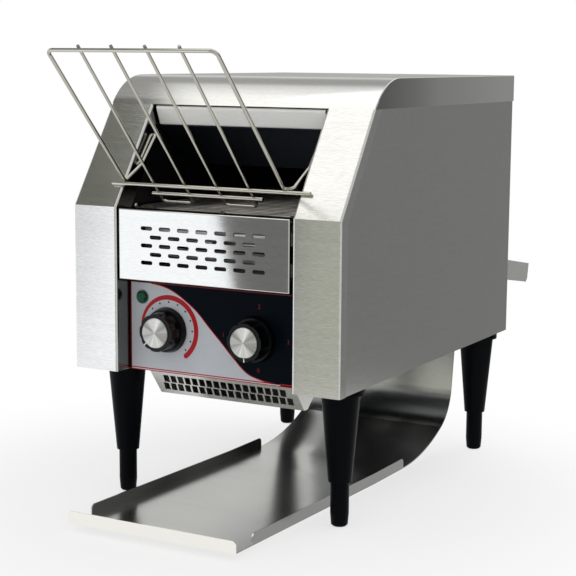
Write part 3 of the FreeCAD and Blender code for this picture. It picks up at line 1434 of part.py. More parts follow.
def chute_path():
    """The tray's underside from the lip to the top of the chute, at X = 0."""
    bend_angle = math.radians(CHUTE_BREAK_ANGLE)
    end_angle = math.radians(CHUTE_END_ANGLE)
    lip_top = Vector(0, -TRAY_REACH, TRAY_LIP_LIFT + TRAY_LIP_HEIGHT)
    lip_low = Vector(0, -TRAY_REACH, TRAY_LIP_LIFT)
    flat = Vector(0, TRAY_FLAT_FROM, 0)
    start = Vector(0, CHUTE_START, 0)

    def on_arc(angle):
        rise = CHUTE_RADIUS * (1 - math.cos(angle))
        return Vector(0, CHUTE_START + CHUTE_RADIUS * math.sin(angle), rise)

    def on_kick(angle):
        base = on_arc(bend_angle)
        return base + Vector(
            0, CHUTE_KICK_RADIUS * (math.sin(angle) - math.sin(bend_angle)),
            CHUTE_KICK_RADIUS * (math.cos(bend_angle) - math.cos(angle)),
        )

    kick_end = on_kick(end_angle)
    rise = Z_BOTTOM - CHUTE_TOP_GAP - kick_end.z
    top = kick_end + Vector(0, rise / math.tan(end_angle), rise)
    floor = rounded_path([lip_top, lip_low, flat], [BEND_RADIUS + SHEET])
    edges = floor.Edges + [
        Part.LineSegment(flat, start).toShape(),
        Part.Arc(start, on_arc(bend_angle / 2), on_arc(bend_angle)).toShape(),
        Part.Arc(on_arc(bend_angle), on_kick((bend_angle + end_angle) / 2), kick_end).toShape(),
        Part.LineSegment(kick_end, top).toShape(),
    ]
    return Part.Wire(edges)


def toast_tray():
    """The tray, its lip and flanges and the chute behind, bent from one sheet."""
    sheet = bent_sheet(chute_path(), -1, -TRAY_LIP_HALF_WIDTH, TRAY_LIP_HALF_WIDTH)
    cuts = []
    notch = box(
        TRAY_HALF_WIDTH, TRAY_LIP_HALF_WIDTH + OVERRUN, -TRAY_REACH + 2 * SHEET, BODY_DEPTH,
        -OVERRUN, Z_BOTTOM,
    )
    cuts.append(notch)
    cuts.append(mirrored(notch))
    sheet = sheet.cut(cuts)
    lip_corners = []
    for edge in sheet.Edges:
        at = edge.CenterOfMass
        high = at.z > TRAY_LIP_LIFT + TRAY_LIP_HEIGHT - FIT_GAP and at.y < 0
        if high and abs(abs(at.x) - TRAY_LIP_HALF_WIDTH) < FIT_GAP:
            lip_corners.append(edge)
    sheet = sheet.makeFillet(TRAY_CORNER * 2 / 3, lip_corners)
    slope = TRAY_LIP_LIFT / (TRAY_REACH + TRAY_FLAT_FROM)
    start_y = -TRAY_REACH + TRAY_FLANGE_START
    start_z = (TRAY_FLAT_FROM - start_y) * slope
    outline = [
        (start_y, start_z),
        (TRAY_FLAT_FROM, 0),
        (CHUTE_START, 0),
        (CHUTE_START, TRAY_FLANGE_HEIGHT),
        (TRAY_FLAT_FROM, TRAY_FLANGE_HEIGHT),
        (start_y, start_z + TRAY_FLANGE_HEIGHT),
    ]
    flange = side_prism(outline, TRAY_HALF_WIDTH - SHEET, TRAY_HALF_WIDTH)
    top_corners = []
    for edge in flange.Edges:
        at = edge.CenterOfMass
        across = edge.BoundBox.XLength > SHEET / 2
        at_end = abs(at.y - start_y) < FIT_GAP or abs(at.y - CHUTE_START) < FIT_GAP
        if across and at_end and at.z > TRAY_FLANGE_HEIGHT - FIT_GAP:
            top_corners.append(edge)
    flange = flange.makeFillet(TRAY_CORNER, top_corners)
    return fuse([sheet, flange, mirrored(flange)])


def rack_frame():
    """One bent wire: pin, ear, side, top bar, side, ear and pin again."""
    left = []
    pin = Vector(-EAR_PIN_END_X, PIN_Y, PIN_Z)
    turn = Vector(-EAR_OUTER_X, PIN_Y, PIN_Z)
    top_y, top_z = along_slant(EAR_TOP_UP, EAR_TOP_BEHIND)
    knee_y, knee_z = along_slant(EAR_KNEE_UP, EAR_KNEE_BEHIND)
    left.append(pin)
    left.append(turn)
    left.append(Vector(-EAR_OUTER_X, top_y, top_z))
    left.append(Vector(-EAR_INNER_X, top_y, top_z))
    left.append(Vector(-EAR_INNER_X, knee_y, knee_z))
    inner_x = OPENING_HALF - RIGHT_EAR_INNER_GAP
    outer_y, outer_z = along_slant(EAR_TOP_UP, RIGHT_EAR_OUTER_BEHIND)
    top_y, top_z = along_slant(EAR_TOP_UP, RIGHT_EAR_TOP_BEHIND)
    knee_y, knee_z = along_slant(RIGHT_EAR_KNEE_UP, RIGHT_EAR_KNEE_BEHIND)
    corner_y, corner_z = along_slant(RIGHT_EAR_CORNER_UP, RIGHT_EAR_CORNER_BEHIND)
    right = [
        Vector(OPENING_HALF - RIGHT_EAR_CORNER_GAP, corner_y, corner_z),
        Vector(inner_x, knee_y, knee_z),
        Vector(inner_x, top_y, top_z),
        Vector(EAR_OUTER_X, outer_y, outer_z),
        Vector(EAR_OUTER_X, PIN_Y, PIN_Z),
        Vector(EAR_PIN_END_X, PIN_Y, PIN_Z),
    ]
    side_low = rack_point(0, 0, FRAME_LIFT)
    side_top = rack_point(0, RACK_TOP_ALONG, BAR_LIFT)
    loop = [
        Vector(RACK_SHIFT - RACK_HALF_WIDTH, side_low.y, side_low.z),
        Vector(RACK_SHIFT - RACK_HALF_WIDTH, side_top.y, side_top.z),
        Vector(RACK_SHIFT + RACK_HALF_WIDTH, side_top.y, side_top.z),
        Vector(RACK_SHIFT + RACK_HALF_WIDTH, side_low.y, side_low.z),
    ]
    bends = [EAR_BEND] * len(left) + [RACK_CORNER, RACK_CORNER] + [EAR_BEND] * len(right)
    return wire_form(left + loop + right, RACK_WIRE_RADIUS, bends)


def guide_wire_places():
    """X of the four wires that the bread slides on."""
    pitch = 2 * RACK_HALF_WIDTH / (RACK_GUIDES + 1)
    start = RACK_GUIDE_SHIFT - RACK_HALF_WIDTH
    return [start + (step + 1) * pitch for step in range(RACK_GUIDES)]


def rack_guide_wires():
    """Two hairpins: each is a pair of guide wires joined by a bend below the rods."""
    top = RACK_TOP_ALONG + RACK_WIRE_RADIUS + RACK_GUIDE_STUB
    places = guide_wire_places()
    hairpins = []
    for first, second in zip(places[0::2], places[1::2]):
        points = [
            rack_point(first, top, GUIDE_LIFT),
            rack_point(first, -RACK_GUIDE_BELOW, GUIDE_LIFT),
            rack_point(second, -RACK_GUIDE_BELOW, GUIDE_LIFT),
            rack_point(second, top, GUIDE_LIFT),
        ]
        hairpins.append(wire_form(points, RACK_GUIDE_RADIUS, [RACK_HAIRPIN_CORNER] * 2))
    return Part.makeCompound(hairpins)


def rack_long_rod():
    """The rod that rests on both slanted columns."""
    middle = rack_point(0, 0, 0)
    reach = Vector(RACK_ROD_HALF_LENGTH, 0, 0)
    return cylinder(RACK_ROD_RADIUS, middle - reach, middle + reach)


def rack_short_rod():
    """The rod that ties the guide wires together below the long one."""
    middle = rack_point(RACK_SHORT_ROD_SHIFT, -RACK_SHORT_ROD_BELOW, 0)
    reach = Vector(RACK_SHORT_ROD_HALF_LENGTH, 0, 0)
    return cylinder(RACK_ROD_RADIUS, middle - reach, middle + reach)


def all_parts():
    """Every piece by its node's name."""
    front_y, front_z = shaft_places()[0]
    rear_y, rear_z = shaft_places()[1]
    column = right_front_column()
    side = right_side_panel()
    wall = right_inner_wall()
    spacer = right_rear_spacer()
    parts = {
        "left_front_column": mirrored(column),
        "right_front_column": column,
        "left_side_panel": mirrored(side),
        "right_side_panel": side,
        "top_cap": top_cap(),
        "rear_panel": rear_panel(),
        "rear_spacers": Part.makeCompound([spacer, mirrored(spacer)]),
        "base_pan": base_pan(),
        "left_inner_wall": mirrored(wall),
        "right_inner_wall": wall,
        "front_vent_cover": front_vent_cover(),
        "control_panel": control_panel(),
        "lower_vent_grille": lower_vent_grille(),
        "chamber_floor": chamber_floor(),
        "control_bulkhead": control_bulkhead(),
        "entry_rail": entry_rail(),
        "entry_guide": entry_guide(),
        "upper_reflector": upper_reflector(),
        "lower_reflector": lower_reflector(),
        "rear_deflector": rear_deflector(),
        "heater_tubes": heater_tubes(),
        "heater_end_caps": heater_end_caps(),
        "shaft_bushes": shaft_bushes(),
        "conveyor_belt": conveyor_belt(),
        "gear_motor": gear_motor(),
        "fan_frame": fan_frame(),
        "terminal_block": terminal_block(),
        "cord_gland": cord_gland(),
        "speed_control": speed_control(),
        "selector_switch": selector_switch(),
        "pilot_lamp_body": pilot_lamp_body(),
        "pilot_lens": pilot_lens(),
        "leg_nuts": leg_nuts(),
        "rear_panel_screws": rear_panel_screws(),
        "speed_knob_grip": knob_grip(SPEED_KNOB_X),
        "speed_knob_cap": knob_cap(SPEED_KNOB_X),
        "speed_spindle": spindle(SPEED_KNOB_X),
        "selector_knob_grip": knob_grip(SELECTOR_KNOB_X),
        "selector_knob_cap": knob_cap(SELECTOR_KNOB_X),
        "selector_spindle": spindle(SELECTOR_KNOB_X),
        "toast_tray": toast_tray(),
        "rack_frame": rack_frame(),
        "rack_guide_wires": rack_guide_wires(),
        "rack_long_rod": rack_long_rod(),
        "rack_short_rod": rack_short_rod(),
        "front_shaft": conveyor_shaft(front_y, front_z),
        "front_belt_sprockets": belt_sprockets(front_y, front_z),
        "drive_coupling": drive_coupling(),
        "motor_output_shaft": motor_output_shaft(),
        "rear_shaft": conveyor_shaft(rear_y, rear_z),
        "rear_belt_sprockets": belt_sprockets(rear_y, rear_z),
        "fan_rotor": fan_rotor(),
    }
    for name, (x, y) in LEG_PLACES.items():
        parts["leg_" + name] = leg(x, y)
        parts["foot_" + name] = foot(x, y)
    return parts


def write_parts():
    """One STEP file for each piece, moved to the model's origin."""
    os.makedirs("parts", exist_ok=True)
    for name, shape in all_parts().items():
        placed = shape.copy()
        placed.translate(Vector(0, SHIFT_Y, 0))
        placed.exportStep(os.path.join("parts", name + ".step"))


write_parts()
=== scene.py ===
"""Finishes, printed panel, small fittings, lights and camera for the conveyor toaster."""

import math

import bpy
from mathutils import Matrix, Vector
from mathutils.geometry import tessellate_polygon


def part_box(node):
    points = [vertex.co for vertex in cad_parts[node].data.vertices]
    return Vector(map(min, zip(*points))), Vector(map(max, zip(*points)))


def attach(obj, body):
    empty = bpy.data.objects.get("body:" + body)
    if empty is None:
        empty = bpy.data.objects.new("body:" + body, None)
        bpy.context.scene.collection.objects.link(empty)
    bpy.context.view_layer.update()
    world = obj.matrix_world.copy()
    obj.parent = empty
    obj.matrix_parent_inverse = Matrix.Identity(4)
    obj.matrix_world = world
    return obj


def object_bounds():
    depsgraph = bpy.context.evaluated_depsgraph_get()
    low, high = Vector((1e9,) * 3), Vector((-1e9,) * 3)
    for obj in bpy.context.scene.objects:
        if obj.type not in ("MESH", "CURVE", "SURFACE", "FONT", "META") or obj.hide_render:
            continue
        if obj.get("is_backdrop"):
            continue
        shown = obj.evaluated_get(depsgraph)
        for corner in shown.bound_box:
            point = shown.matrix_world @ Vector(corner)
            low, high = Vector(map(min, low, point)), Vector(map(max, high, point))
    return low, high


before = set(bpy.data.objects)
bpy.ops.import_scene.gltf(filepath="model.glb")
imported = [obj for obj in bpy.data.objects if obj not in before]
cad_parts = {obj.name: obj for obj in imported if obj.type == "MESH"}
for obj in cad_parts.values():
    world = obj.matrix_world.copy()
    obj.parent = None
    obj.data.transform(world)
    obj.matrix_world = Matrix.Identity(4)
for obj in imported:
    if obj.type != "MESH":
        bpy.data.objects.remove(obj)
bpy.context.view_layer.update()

MM = 0.001
# The source's own frame has the casing's front at y 0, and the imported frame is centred.
SHIFT_Y = -186.756


def at(x, y, z):
    """A point given in millimetres from the casing's front, in the row frame's metres."""
    return Vector((x, y + SHIFT_Y, z)) * MM


# Node trees

def put(tree, kind, inputs=None, **settings):
    """A new node with its settings made and its sockets filled or linked."""
    made = tree.nodes.new("ShaderNode" + kind)
    for key, value in settings.items():
        setattr(made, key, value)
    for key, value in (inputs or {}).items():
        if isinstance(value, bpy.types.NodeSocket):
            tree.links.new(value, made.inputs[key])
        else:
            made.inputs[key].default_value = value
    return made


def calc(tree, operation, first, second=0.0):
    return put(tree, "Math", {0: first, 1: second}, operation=operation).outputs[0]


def remap(tree, value, low, high, to_low, to_high, smooth=False):
    kind = "SMOOTHSTEP" if smooth else "LINEAR"
    ends = {"Value": value, "From Min": low, "From Max": high, "To Min": to_low, "To Max": to_high}
    return put(tree, "MapRange", ends, interpolation_type=kind).outputs["Result"]


def blend_colour(tree, factor, first, second):
    mixed = put(tree, "Mix", {0: factor, 6: first, 7: second}, data_type="RGBA")
    return mixed.outputs[2]


def shade(colour, factor):
    return tuple(min(1.0, c * factor) for c in colour[:3]) + (1.0,)


def noise(tree, scale, detail=3.0, shift=0.0):
    """Noise over the object's own coordinates in metres, stretched by a scale for each axis."""
    place = put(tree, "TexCoord").outputs["Object"]
    stretched = put(tree, "Mapping", {0: place, "Location": (shift,) * 3, "Scale": scale})
    cloud = {"Vector": stretched.outputs[0], "Scale": 1.0, "Detail": detail, "Roughness": 0.5}
    return put(tree, "TexNoise", cloud).outputs[0]


def new_material(name):
    material = bpy.data.materials.new(name)
    material.use_nodes = True
    tree = material.node_tree
    tree.nodes.clear()
    shader = put(tree, "BsdfPrincipled")
    put(tree, "OutputMaterial", {"Surface": shader.outputs[0]})
    return material, tree, shader


def bump(tree, shader, height, strength, distance, normal=None):
    """Relief from a height, over the surface's own normal or a given one."""
    inputs = {"Height": height, "Strength": strength, "Distance": distance}
    if normal is not None:
        inputs["Normal"] = normal
    tree.links.new(put(tree, "Bump", inputs).outputs[0], shader.inputs["Normal"])


def fill(shader, **values):
    """Set sockets of a shader, named with _ for each space."""
    for name, value in values.items():
        shader.inputs[name.replace("_", " ")].default_value = value


# A noise mostly lies between the first two values, and all but always between the wider two.
SPREAD = (0.3, 0.7)
WIDE_SPREAD = (0.2, 0.8)

# For each axis of brushing: its direction, and the scales of the fine scratches and the broad streaks.
GRAINS = {
    "x": ((1.0, 0.0, 0.0), (150.0, 1200.0, 1200.0), (11.0, 260.0, 260.0)),
    "y": ((0.0, 1.0, 0.0), (1200.0, 150.0, 1200.0), (260.0, 11.0, 260.0)),
}
FINE_SHARE = 0.7
GRAIN_RANGE = (0.35, 0.65)
SMUDGE_SCALE = (14.0, 14.0, 14.0)
MOST_CLOUD = 0.12
CLOUD_TONE = 0.82
ALONG_TANGENT = 0.25


def steel(name, colour, rough, grain="x", directional=0.9, streaks=0.05, depth=0.05, uneven=0.05,
          metallic=1.0):
    """Sheet brushed along one axis: fine scratches, broader streaks and faint clouds."""
    material, tree, shader = new_material(name)
    along, fine_scale, broad_scale = GRAINS[grain]
    fine = noise(tree, fine_scale, detail=2.0)
    broad = noise(tree, broad_scale, detail=3.0, shift=7.0)
    smudge = noise(tree, SMUDGE_SCALE, detail=2.0, shift=3.0)
    finer = calc(tree, "MULTIPLY", fine, FINE_SHARE)
    both = calc(tree, "ADD", finer, calc(tree, "MULTIPLY", broad, 1.0 - FINE_SHARE))
    toned = remap(tree, both, *GRAIN_RANGE, 0.0, 1.0)
    streaked = blend_colour(tree, toned, shade(colour, 1.0 - streaks), shade(colour, 1.0 + streaks))
    clouded = remap(tree, smudge, *SPREAD, 0.0, MOST_CLOUD)
    final = blend_colour(tree, clouded, streaked, shade(colour, CLOUD_TONE))
    tree.links.new(final, shader.inputs["Base Color"])
    sheen = calc(tree, "MULTIPLY", calc(tree, "ADD", both, smudge), uneven)
    tree.links.new(calc(tree, "ADD", sheen, rough - uneven), shader.inputs["Roughness"])
    fill(shader, Metallic=metallic, Anisotropic=directional, Anisotropic_Rotation=ALONG_TANGENT)
    line = put(tree, "CombineXYZ", {0: along[0], 1: along[1], 2: along[2]})
    tree.links.new(line.outputs[0], shader.inputs["Tangent"])
    bump(tree, shader, both, depth, distance=0.0004)
    return material


METAL_PATCHES = (35.0, 35.0, 35.0)
METAL_SPREAD = (0.32, 0.68)
METAL_SHEEN = 0.09


def metal(name, colour, rough, grain=(300.0, 300.0, 300.0), patch=0.1, depth=0.05):
    """Plain metal, plated, rolled or cast, with an uneven sheen."""
    material, tree, shader = new_material(name)
    fine = noise(tree, grain, detail=4.0)
    broad = noise(tree, METAL_PATCHES, detail=3.0, shift=5.0)
    toned = remap(tree, broad, *METAL_SPREAD, 0.0, 1.0)
    final = blend_colour(tree, toned, shade(colour, 1.0 - patch), shade(colour, 1.0 + patch / 2))
    tree.links.new(final, shader.inputs["Base Color"])
    uneven = calc(tree, "MULTIPLY", calc(tree, "ADD", fine, broad), METAL_SHEEN)
    tree.links.new(calc(tree, "ADD", uneven, rough - METAL_SHEEN), shader.inputs["Roughness"])
    fill(shader, Metallic=1.0)
    bump(tree, shader, fine, depth, distance=0.0005)
    return material


PLASTIC_PATCHES = (60.0, 60.0, 60.0)
PLASTIC_TONES = (0.85, 1.15)
PLASTIC_SHEEN = 0.08
# Wear grows as the rounded normal leaves the true one, from the first cosine to the second.
WEAR_FACING, MOST_WEAR = (0.97, 0.75), 0.35
WORN_PALER, WORN_TONE = 0.012, 1.2


def plastic(name, colour, rough, pebble=1400.0, depth=0.06, gloss=0.4, edge=0.0):
    """Moulded plastic: faint pebbling, uneven polish, and edges rubbed slightly paler."""
    material, tree, shader = new_material(name)
    fine = noise(tree, (pebble,) * 3, detail=2.0)
    broad = noise(tree, PLASTIC_PATCHES, detail=3.0, shift=2.0)
    toned = remap(tree, broad, *SPREAD, 0.0, 1.0)
    final = blend_colour(tree, toned, *(shade(colour, tone) for tone in PLASTIC_TONES))
    soft = None
    if edge:
        soft = put(tree, "Bevel", {"Radius": edge}, samples=4).outputs[0]
        true = put(tree, "NewGeometry").outputs["Normal"]
        facing = put(tree, "VectorMath", {0: soft, 1: true}, operation="DOT_PRODUCT")
        worn = remap(tree, facing.outputs["Value"], *WEAR_FACING, 0.0, MOST_WEAR)
        final = blend_colour(tree, worn, final, shade([c + WORN_PALER for c in colour], WORN_TONE))
    tree.links.new(final, shader.inputs["Base Color"])
    uneven = calc(tree, "MULTIPLY", calc(tree, "ADD", fine, broad), PLASTIC_SHEEN)
    tree.links.new(calc(tree, "ADD", uneven, rough - PLASTIC_SHEEN), shader.inputs["Roughness"])
    fill(shader, Specular_IOR_Level=gloss)
    bump(tree, shader, fine, depth, distance=0.0003, normal=soft)
    return material


# The caps' colour runs between these two, which carries painted reflections as well as the metal's own
# marks.
SPUN_DARK = (0.22, 0.215, 0.2, 1.0)
SPUN_BRIGHT = (0.92, 0.91, 0.88, 1.0)
SPUN_ROUGH = (0.26, 0.36)
# Scales of the wedges and the fine lines round the centre, and the share of brightness that each mark adds.
# The wedges and the bright lobes above and below the centre are painted reflections; the fine lines and the
# rings are the metal's own marks.
PAINTED_WEDGE_SCALE, PAINTED_WEDGE_SPREAD, PAINTED_WEDGE_SHARE = 2.6, (0.4, 0.6), 0.3
LINE_SCALE, LINE_SHARE = 38.0, 0.3
PAINTED_LOBE_SPREAD, PAINTED_LOBE_SHARE = (0.35, 0.98), 0.5
RINGS_PER_METRE, RING_SHARE = 900.0, 0.04


def spun(name, centre):
    """Aluminium brushed outwards from a centre, on a face that looks along y, with painted reflections:
    bright and dark wedges and bright lobes above and below the centre.
    """
    material, tree, shader = new_material(name)
    place = put(tree, "TexCoord").outputs["Object"]
    away = put(tree, "VectorMath", {0: place, 1: centre}, operation="SUBTRACT").outputs[0]
    parts = put(tree, "SeparateXYZ", {0: away})
    across = put(tree, "CombineXYZ", {0: parts.outputs[0], 2: parts.outputs[2]})
    world = {"vector_type": "VECTOR", "convert_from": "OBJECT", "convert_to": "WORLD"}
    outward = put(tree, "VectorTransform", {0: across.outputs[0]}, **world).outputs[0]
    tree.links.new(outward, shader.inputs["Tangent"])
    unit = put(tree, "VectorMath", {0: across.outputs[0]}, operation="NORMALIZE").outputs[0]
    painted_wedges = put(tree, "TexNoise", {"Vector": unit, "Scale": PAINTED_WEDGE_SCALE, "Detail": 1.0}).outputs[0]
    lines = put(tree, "TexNoise", {"Vector": unit, "Scale": LINE_SCALE, "Detail": 3.0}).outputs[0]
    radius = put(tree, "VectorMath", {0: across.outputs[0]}, operation="LENGTH").outputs["Value"]
    ring_place = calc(tree, "MULTIPLY", radius, RINGS_PER_METRE)
    rings = put(tree, "TexNoise", {"W": ring_place, "Scale": 1.0, "Detail": 2.0},
                noise_dimensions="1D").outputs[0]
    # Painted highlight: brighter above and below the centre.
    upright = calc(tree, "POWER", put(tree, "SeparateXYZ", {0: unit}).outputs[2], 2.0)
    painted_lobes = remap(tree, upright, *PAINTED_LOBE_SPREAD, 0.0, PAINTED_LOBE_SHARE, smooth=True)
    broad = calc(tree, "ADD", remap(tree, painted_wedges, *PAINTED_WEDGE_SPREAD, 0.0, PAINTED_WEDGE_SHARE), painted_lobes)
    fine = remap(tree, lines, *SPREAD, 0.0, LINE_SHARE)
    turned_marks = remap(tree, rings, *SPREAD, -RING_SHARE, RING_SHARE)
    toned = calc(tree, "ADD", calc(tree, "ADD", broad, fine), turned_marks)
    final = blend_colour(tree, toned, SPUN_DARK, SPUN_BRIGHT)
    tree.links.new(final, shader.inputs["Base Color"])
    tree.links.new(remap(tree, lines, *WIDE_SPREAD, *SPUN_ROUGH), shader.inputs["Roughness"])
    fill(shader, Metallic=1.0, Anisotropic=0.9, Anisotropic_Rotation=ALONG_TANGENT)
    bump(tree, shader, lines, strength=0.2, distance=0.0003)
    return material


INK_SPECKS = (900.0, 900.0, 900.0)
INK_CLOUDS = (25.0, 25.0, 25.0)
INK_TONES = (0.93, 1.07)
INK_SMOOTHER, INK_ROUGHER = 0.04, 0.06


def ink(name, colour, rough, gloss=0.2):
    """Screen-printed ink, slightly uneven."""
    material, tree, shader = new_material(name)
    speck = noise(tree, INK_SPECKS, detail=3.0)
    cloud = noise(tree, INK_CLOUDS, detail=2.0, shift=4.0)
    both = calc(tree, "ADD", calc(tree, "MULTIPLY", speck, 0.5), calc(tree, "MULTIPLY", cloud, 0.5))
    toned = remap(tree, both, *SPREAD, 0.0, 1.0)
    final = blend_colour(tree, toned, *(shade(colour, tone) for tone in INK_TONES))
    tree.links.new(final, shader.inputs["Base Color"])
    sheen = remap(tree, cloud, *WIDE_SPREAD, rough - INK_SMOOTHER, rough + INK_ROUGHER)
    tree.links.new(sheen, shader.inputs["Roughness"])
    fill(shader, Specular_IOR_Level=gloss)
    bump(tree, shader, speck, strength=0.03, distance=0.0002)
    return material


CLEAR_CLOUDS = (260.0, 260.0, 260.0)
CLEAR_TONES = (0.8, 1.2)
CLEAR_ROUGHER = 0.08


def clear(name, colour, rough, through, ior=1.46, gloss=0.5):
    """Tinted glass or clear plastic."""
    material, tree, shader = new_material(name)
    cloud = noise(tree, CLEAR_CLOUDS, detail=3.0)
    final = blend_colour(tree, cloud, *(shade(colour, tone) for tone in CLEAR_TONES))
    tree.links.new(final, shader.inputs["Base Color"])
    sheen = remap(tree, cloud, *WIDE_SPREAD, rough, rough + CLEAR_ROUGHER)
    tree.links.new(sheen, shader.inputs["Roughness"])
    fill(shader, Transmission_Weight=through, IOR=ior, Specular_IOR_Level=gloss)
    bump(tree, shader, cloud, strength=0.05, distance=0.0003)
    return material


STEEL_TONE = (0.67, 0.665, 0.645)
column_steel = steel("column_steel", STEEL_TONE, 0.13, "x", 0.8, streaks=0.09, depth=0.04)
cover_steel = steel("cover_steel", STEEL_TONE, 0.05, "x", 0.9, streaks=0.05, depth=0.008, uneven=0.012)
side_steel = steel("side_steel", (0.6, 0.6, 0.585), 0.2, "y", 0.5, streaks=0.03, depth=0.02)
cap_steel = steel("cap_steel", STEEL_TONE, 0.11, "x", 0.8, streaks=0.05, depth=0.02)
tray_steel = steel("tray_steel", (0.66, 0.66, 0.64), 0.2, "x", 0.4, streaks=0.05, depth=0.02)
scoop_steel = steel("scoop_steel", (0.78, 0.775, 0.74), 0.32, "x", 0.5)
back_steel = steel("back_steel", STEEL_TONE, 0.3, "x", 0.8)
wire_bright = metal("wire_bright", (0.49, 0.475, 0.42), 0.1, patch=0.02, depth=0.0)
spacer_steel = steel("spacer_steel", (0.85, 0.85, 0.83), 0.4, "y", 0.5)
guide_steel = steel("guide_steel", (0.07, 0.085, 0.11), 0.34, "x", 0.5)


def retint(tree, share, colour):
    """Blend a material's colour towards another by a share worked out in its own tree."""
    shader = next(n for n in tree.nodes if n.type == "BSDF_PRINCIPLED")
    before = shader.inputs["Base Color"].links[0].from_socket
    tree.links.new(blend_colour(tree, share, before, colour), shader.inputs["Base Color"])


SIDE_COSINES = (0.8, 0.9)


def side_facing(tree):
    """1 where a face looks along x, either way, and 0 elsewhere."""
    normal = put(tree, "NewGeometry").outputs["True Normal"]
    across = calc(tree, "ABSOLUTE", put(tree, "SeparateXYZ", {0: normal}).outputs[0])
    return remap(tree, across, *SIDE_COSINES, 0.0, 1.0)


def place_parts(tree):
    return put(tree, "SeparateXYZ", {0: put(tree, "TexCoord").outputs["Object"]}).outputs


# Painted shade on the columns' inner faces: within these x limits their sides are blended to a dark grey.
INNER_FACES_X = (0.12, 0.125)
INNER_PAINTED_SHADE = (0.2, 0.2, 0.195, 1.0)
# Painted shade on the tray's flanges.
FLANGE_PAINTED_SHADE = (0.27, 0.27, 0.26, 1.0)
# Painted highlight: the tray's lip, in front of this y, is made near white.
LIP_Y = at(0.0, -86.0, 0.0)[1]
LIP_PAINTED_HIGHLIGHT = (0.97, 0.955, 0.9, 1.0)
# Painted shade and painted light along the cap's sides, by their place front to rear.
CAP_PAINTED_SHADE_Y, CAP_PAINTED_SHADE_SHARE = (-0.11, 0.02), 0.75
CAP_PAINTED_SHADE_TONE = (0.2, 0.2, 0.19, 1.0)
CAP_PAINTED_LIGHT_Y, CAP_PAINTED_LIGHT_SHARE = (-0.03, 0.2), 0.9
CAP_PAINTED_LIGHT_TONE = (0.97, 0.97, 0.95, 1.0)


def paint_shade_on_inner_faces(tree):
    """Painted shade: the columns' faces towards the opening are blended to a dark grey, below their fronts.
    """
    across = calc(tree, "ABSOLUTE", place_parts(tree)[0])
    inner = remap(tree, across, *INNER_FACES_X, 1.0, 0.0)
    retint(tree, calc(tree, "MULTIPLY", inner, side_facing(tree)), INNER_PAINTED_SHADE)


def paint_tray_shade_and_highlight(tree):
    """Painted shade darkens the tray's flanges, and a painted highlight makes its lip near white."""
    retint(tree, side_facing(tree), FLANGE_PAINTED_SHADE)
    retint(tree, remap(tree, place_parts(tree)[1], LIP_Y, LIP_Y + MM, 1.0, 0.0), LIP_PAINTED_HIGHLIGHT)


def paint_light_and_shade_on_cap_sides(tree):
    """Painted shade darkens the cap's sides to the front, and painted light makes them paler to the rear.
    """
    painted_shade = remap(tree, place_parts(tree)[1], *CAP_PAINTED_SHADE_Y, CAP_PAINTED_SHADE_SHARE, 0.0)
    retint(tree, calc(tree, "MULTIPLY", painted_shade, side_facing(tree)), CAP_PAINTED_SHADE_TONE)
    painted_light = remap(tree, place_parts(tree)[1], *CAP_PAINTED_LIGHT_Y, 0.0, CAP_PAINTED_LIGHT_SHARE)
    retint(tree, calc(tree, "MULTIPLY", painted_light, side_facing(tree)), CAP_PAINTED_LIGHT_TONE)


paint_shade_on_inner_faces(column_steel.node_tree)
paint_tray_shade_and_highlight(tray_steel.node_tree)
paint_light_and_shade_on_cap_sides(cap_steel.node_tree)

FINISHES = {
    "brushed_stainless": back_steel,
    "chamber_steel": metal("chamber_steel", (0.08, 0.083, 0.09), 0.42, patch=0.25),
    # The polished rail is drawn as a near-white non-metal, a painted reflection that stands in for its
    # bright shine.
    "polished_steel": steel("rail_steel_painted_reflection", (0.97, 0.96, 0.94), 0.35, "x", 0.6, streaks=0.04, metallic=0.0),
    "reflector_sheet": metal("reflector_sheet", (0.66, 0.66, 0.66), 0.34),
    "galvanised_sheet": metal("galvanised_sheet", (0.5, 0.52, 0.53), 0.42, (120.0, 120.0, 120.0), 0.25),
    "printed_panel": ink("panel_navy", (0.0012, 0.0036, 0.0075), 0.3, 0.04),
    "bright_wire": wire_bright,
    "belt_wire": metal("belt_wire", (0.34, 0.32, 0.295), 0.3, patch=0.4),
    "shaft_steel": metal("shaft_steel", (0.56, 0.56, 0.57), 0.3, (40.0, 1500.0, 1500.0)),
    "bush_bronze": metal("bush_bronze", (0.5, 0.33, 0.16), 0.4),
    "quartz": clear("quartz", (0.86, 0.85, 0.82), 0.25, 0.75),
    "ceramic": plastic("ceramic", (0.78, 0.76, 0.7), 0.3, 700.0, 0.05),
    "leg_plastic": plastic("leg_plastic", (0.001, 0.0014, 0.0023), 0.36, 1200.0, 0.04, 0.05, 0.0006),
    "knob_plastic": plastic("knob_plastic", (0.0012, 0.0016, 0.0024), 0.2, 1600.0, 0.03, 0.22, 0.0005),
    "lens_green": clear("lens_green", (0.003, 0.1, 0.045), 0.2, 0.2, 1.49, 0.12),
    "black_plastic": plastic("black_plastic", (0.02, 0.02, 0.021), 0.42),
    "switch_plastic": plastic("switch_plastic", (0.16, 0.075, 0.035), 0.4),
    "terminal_plastic": plastic("terminal_plastic", (0.75, 0.72, 0.6), 0.42),
    "motor_metal": metal("motor_metal", (0.3, 0.31, 0.32), 0.5, (700.0,) * 3, 0.15, 0.25),
    "plated_fastener": metal("plated_fastener", (0.66, 0.65, 0.62), 0.28),
}

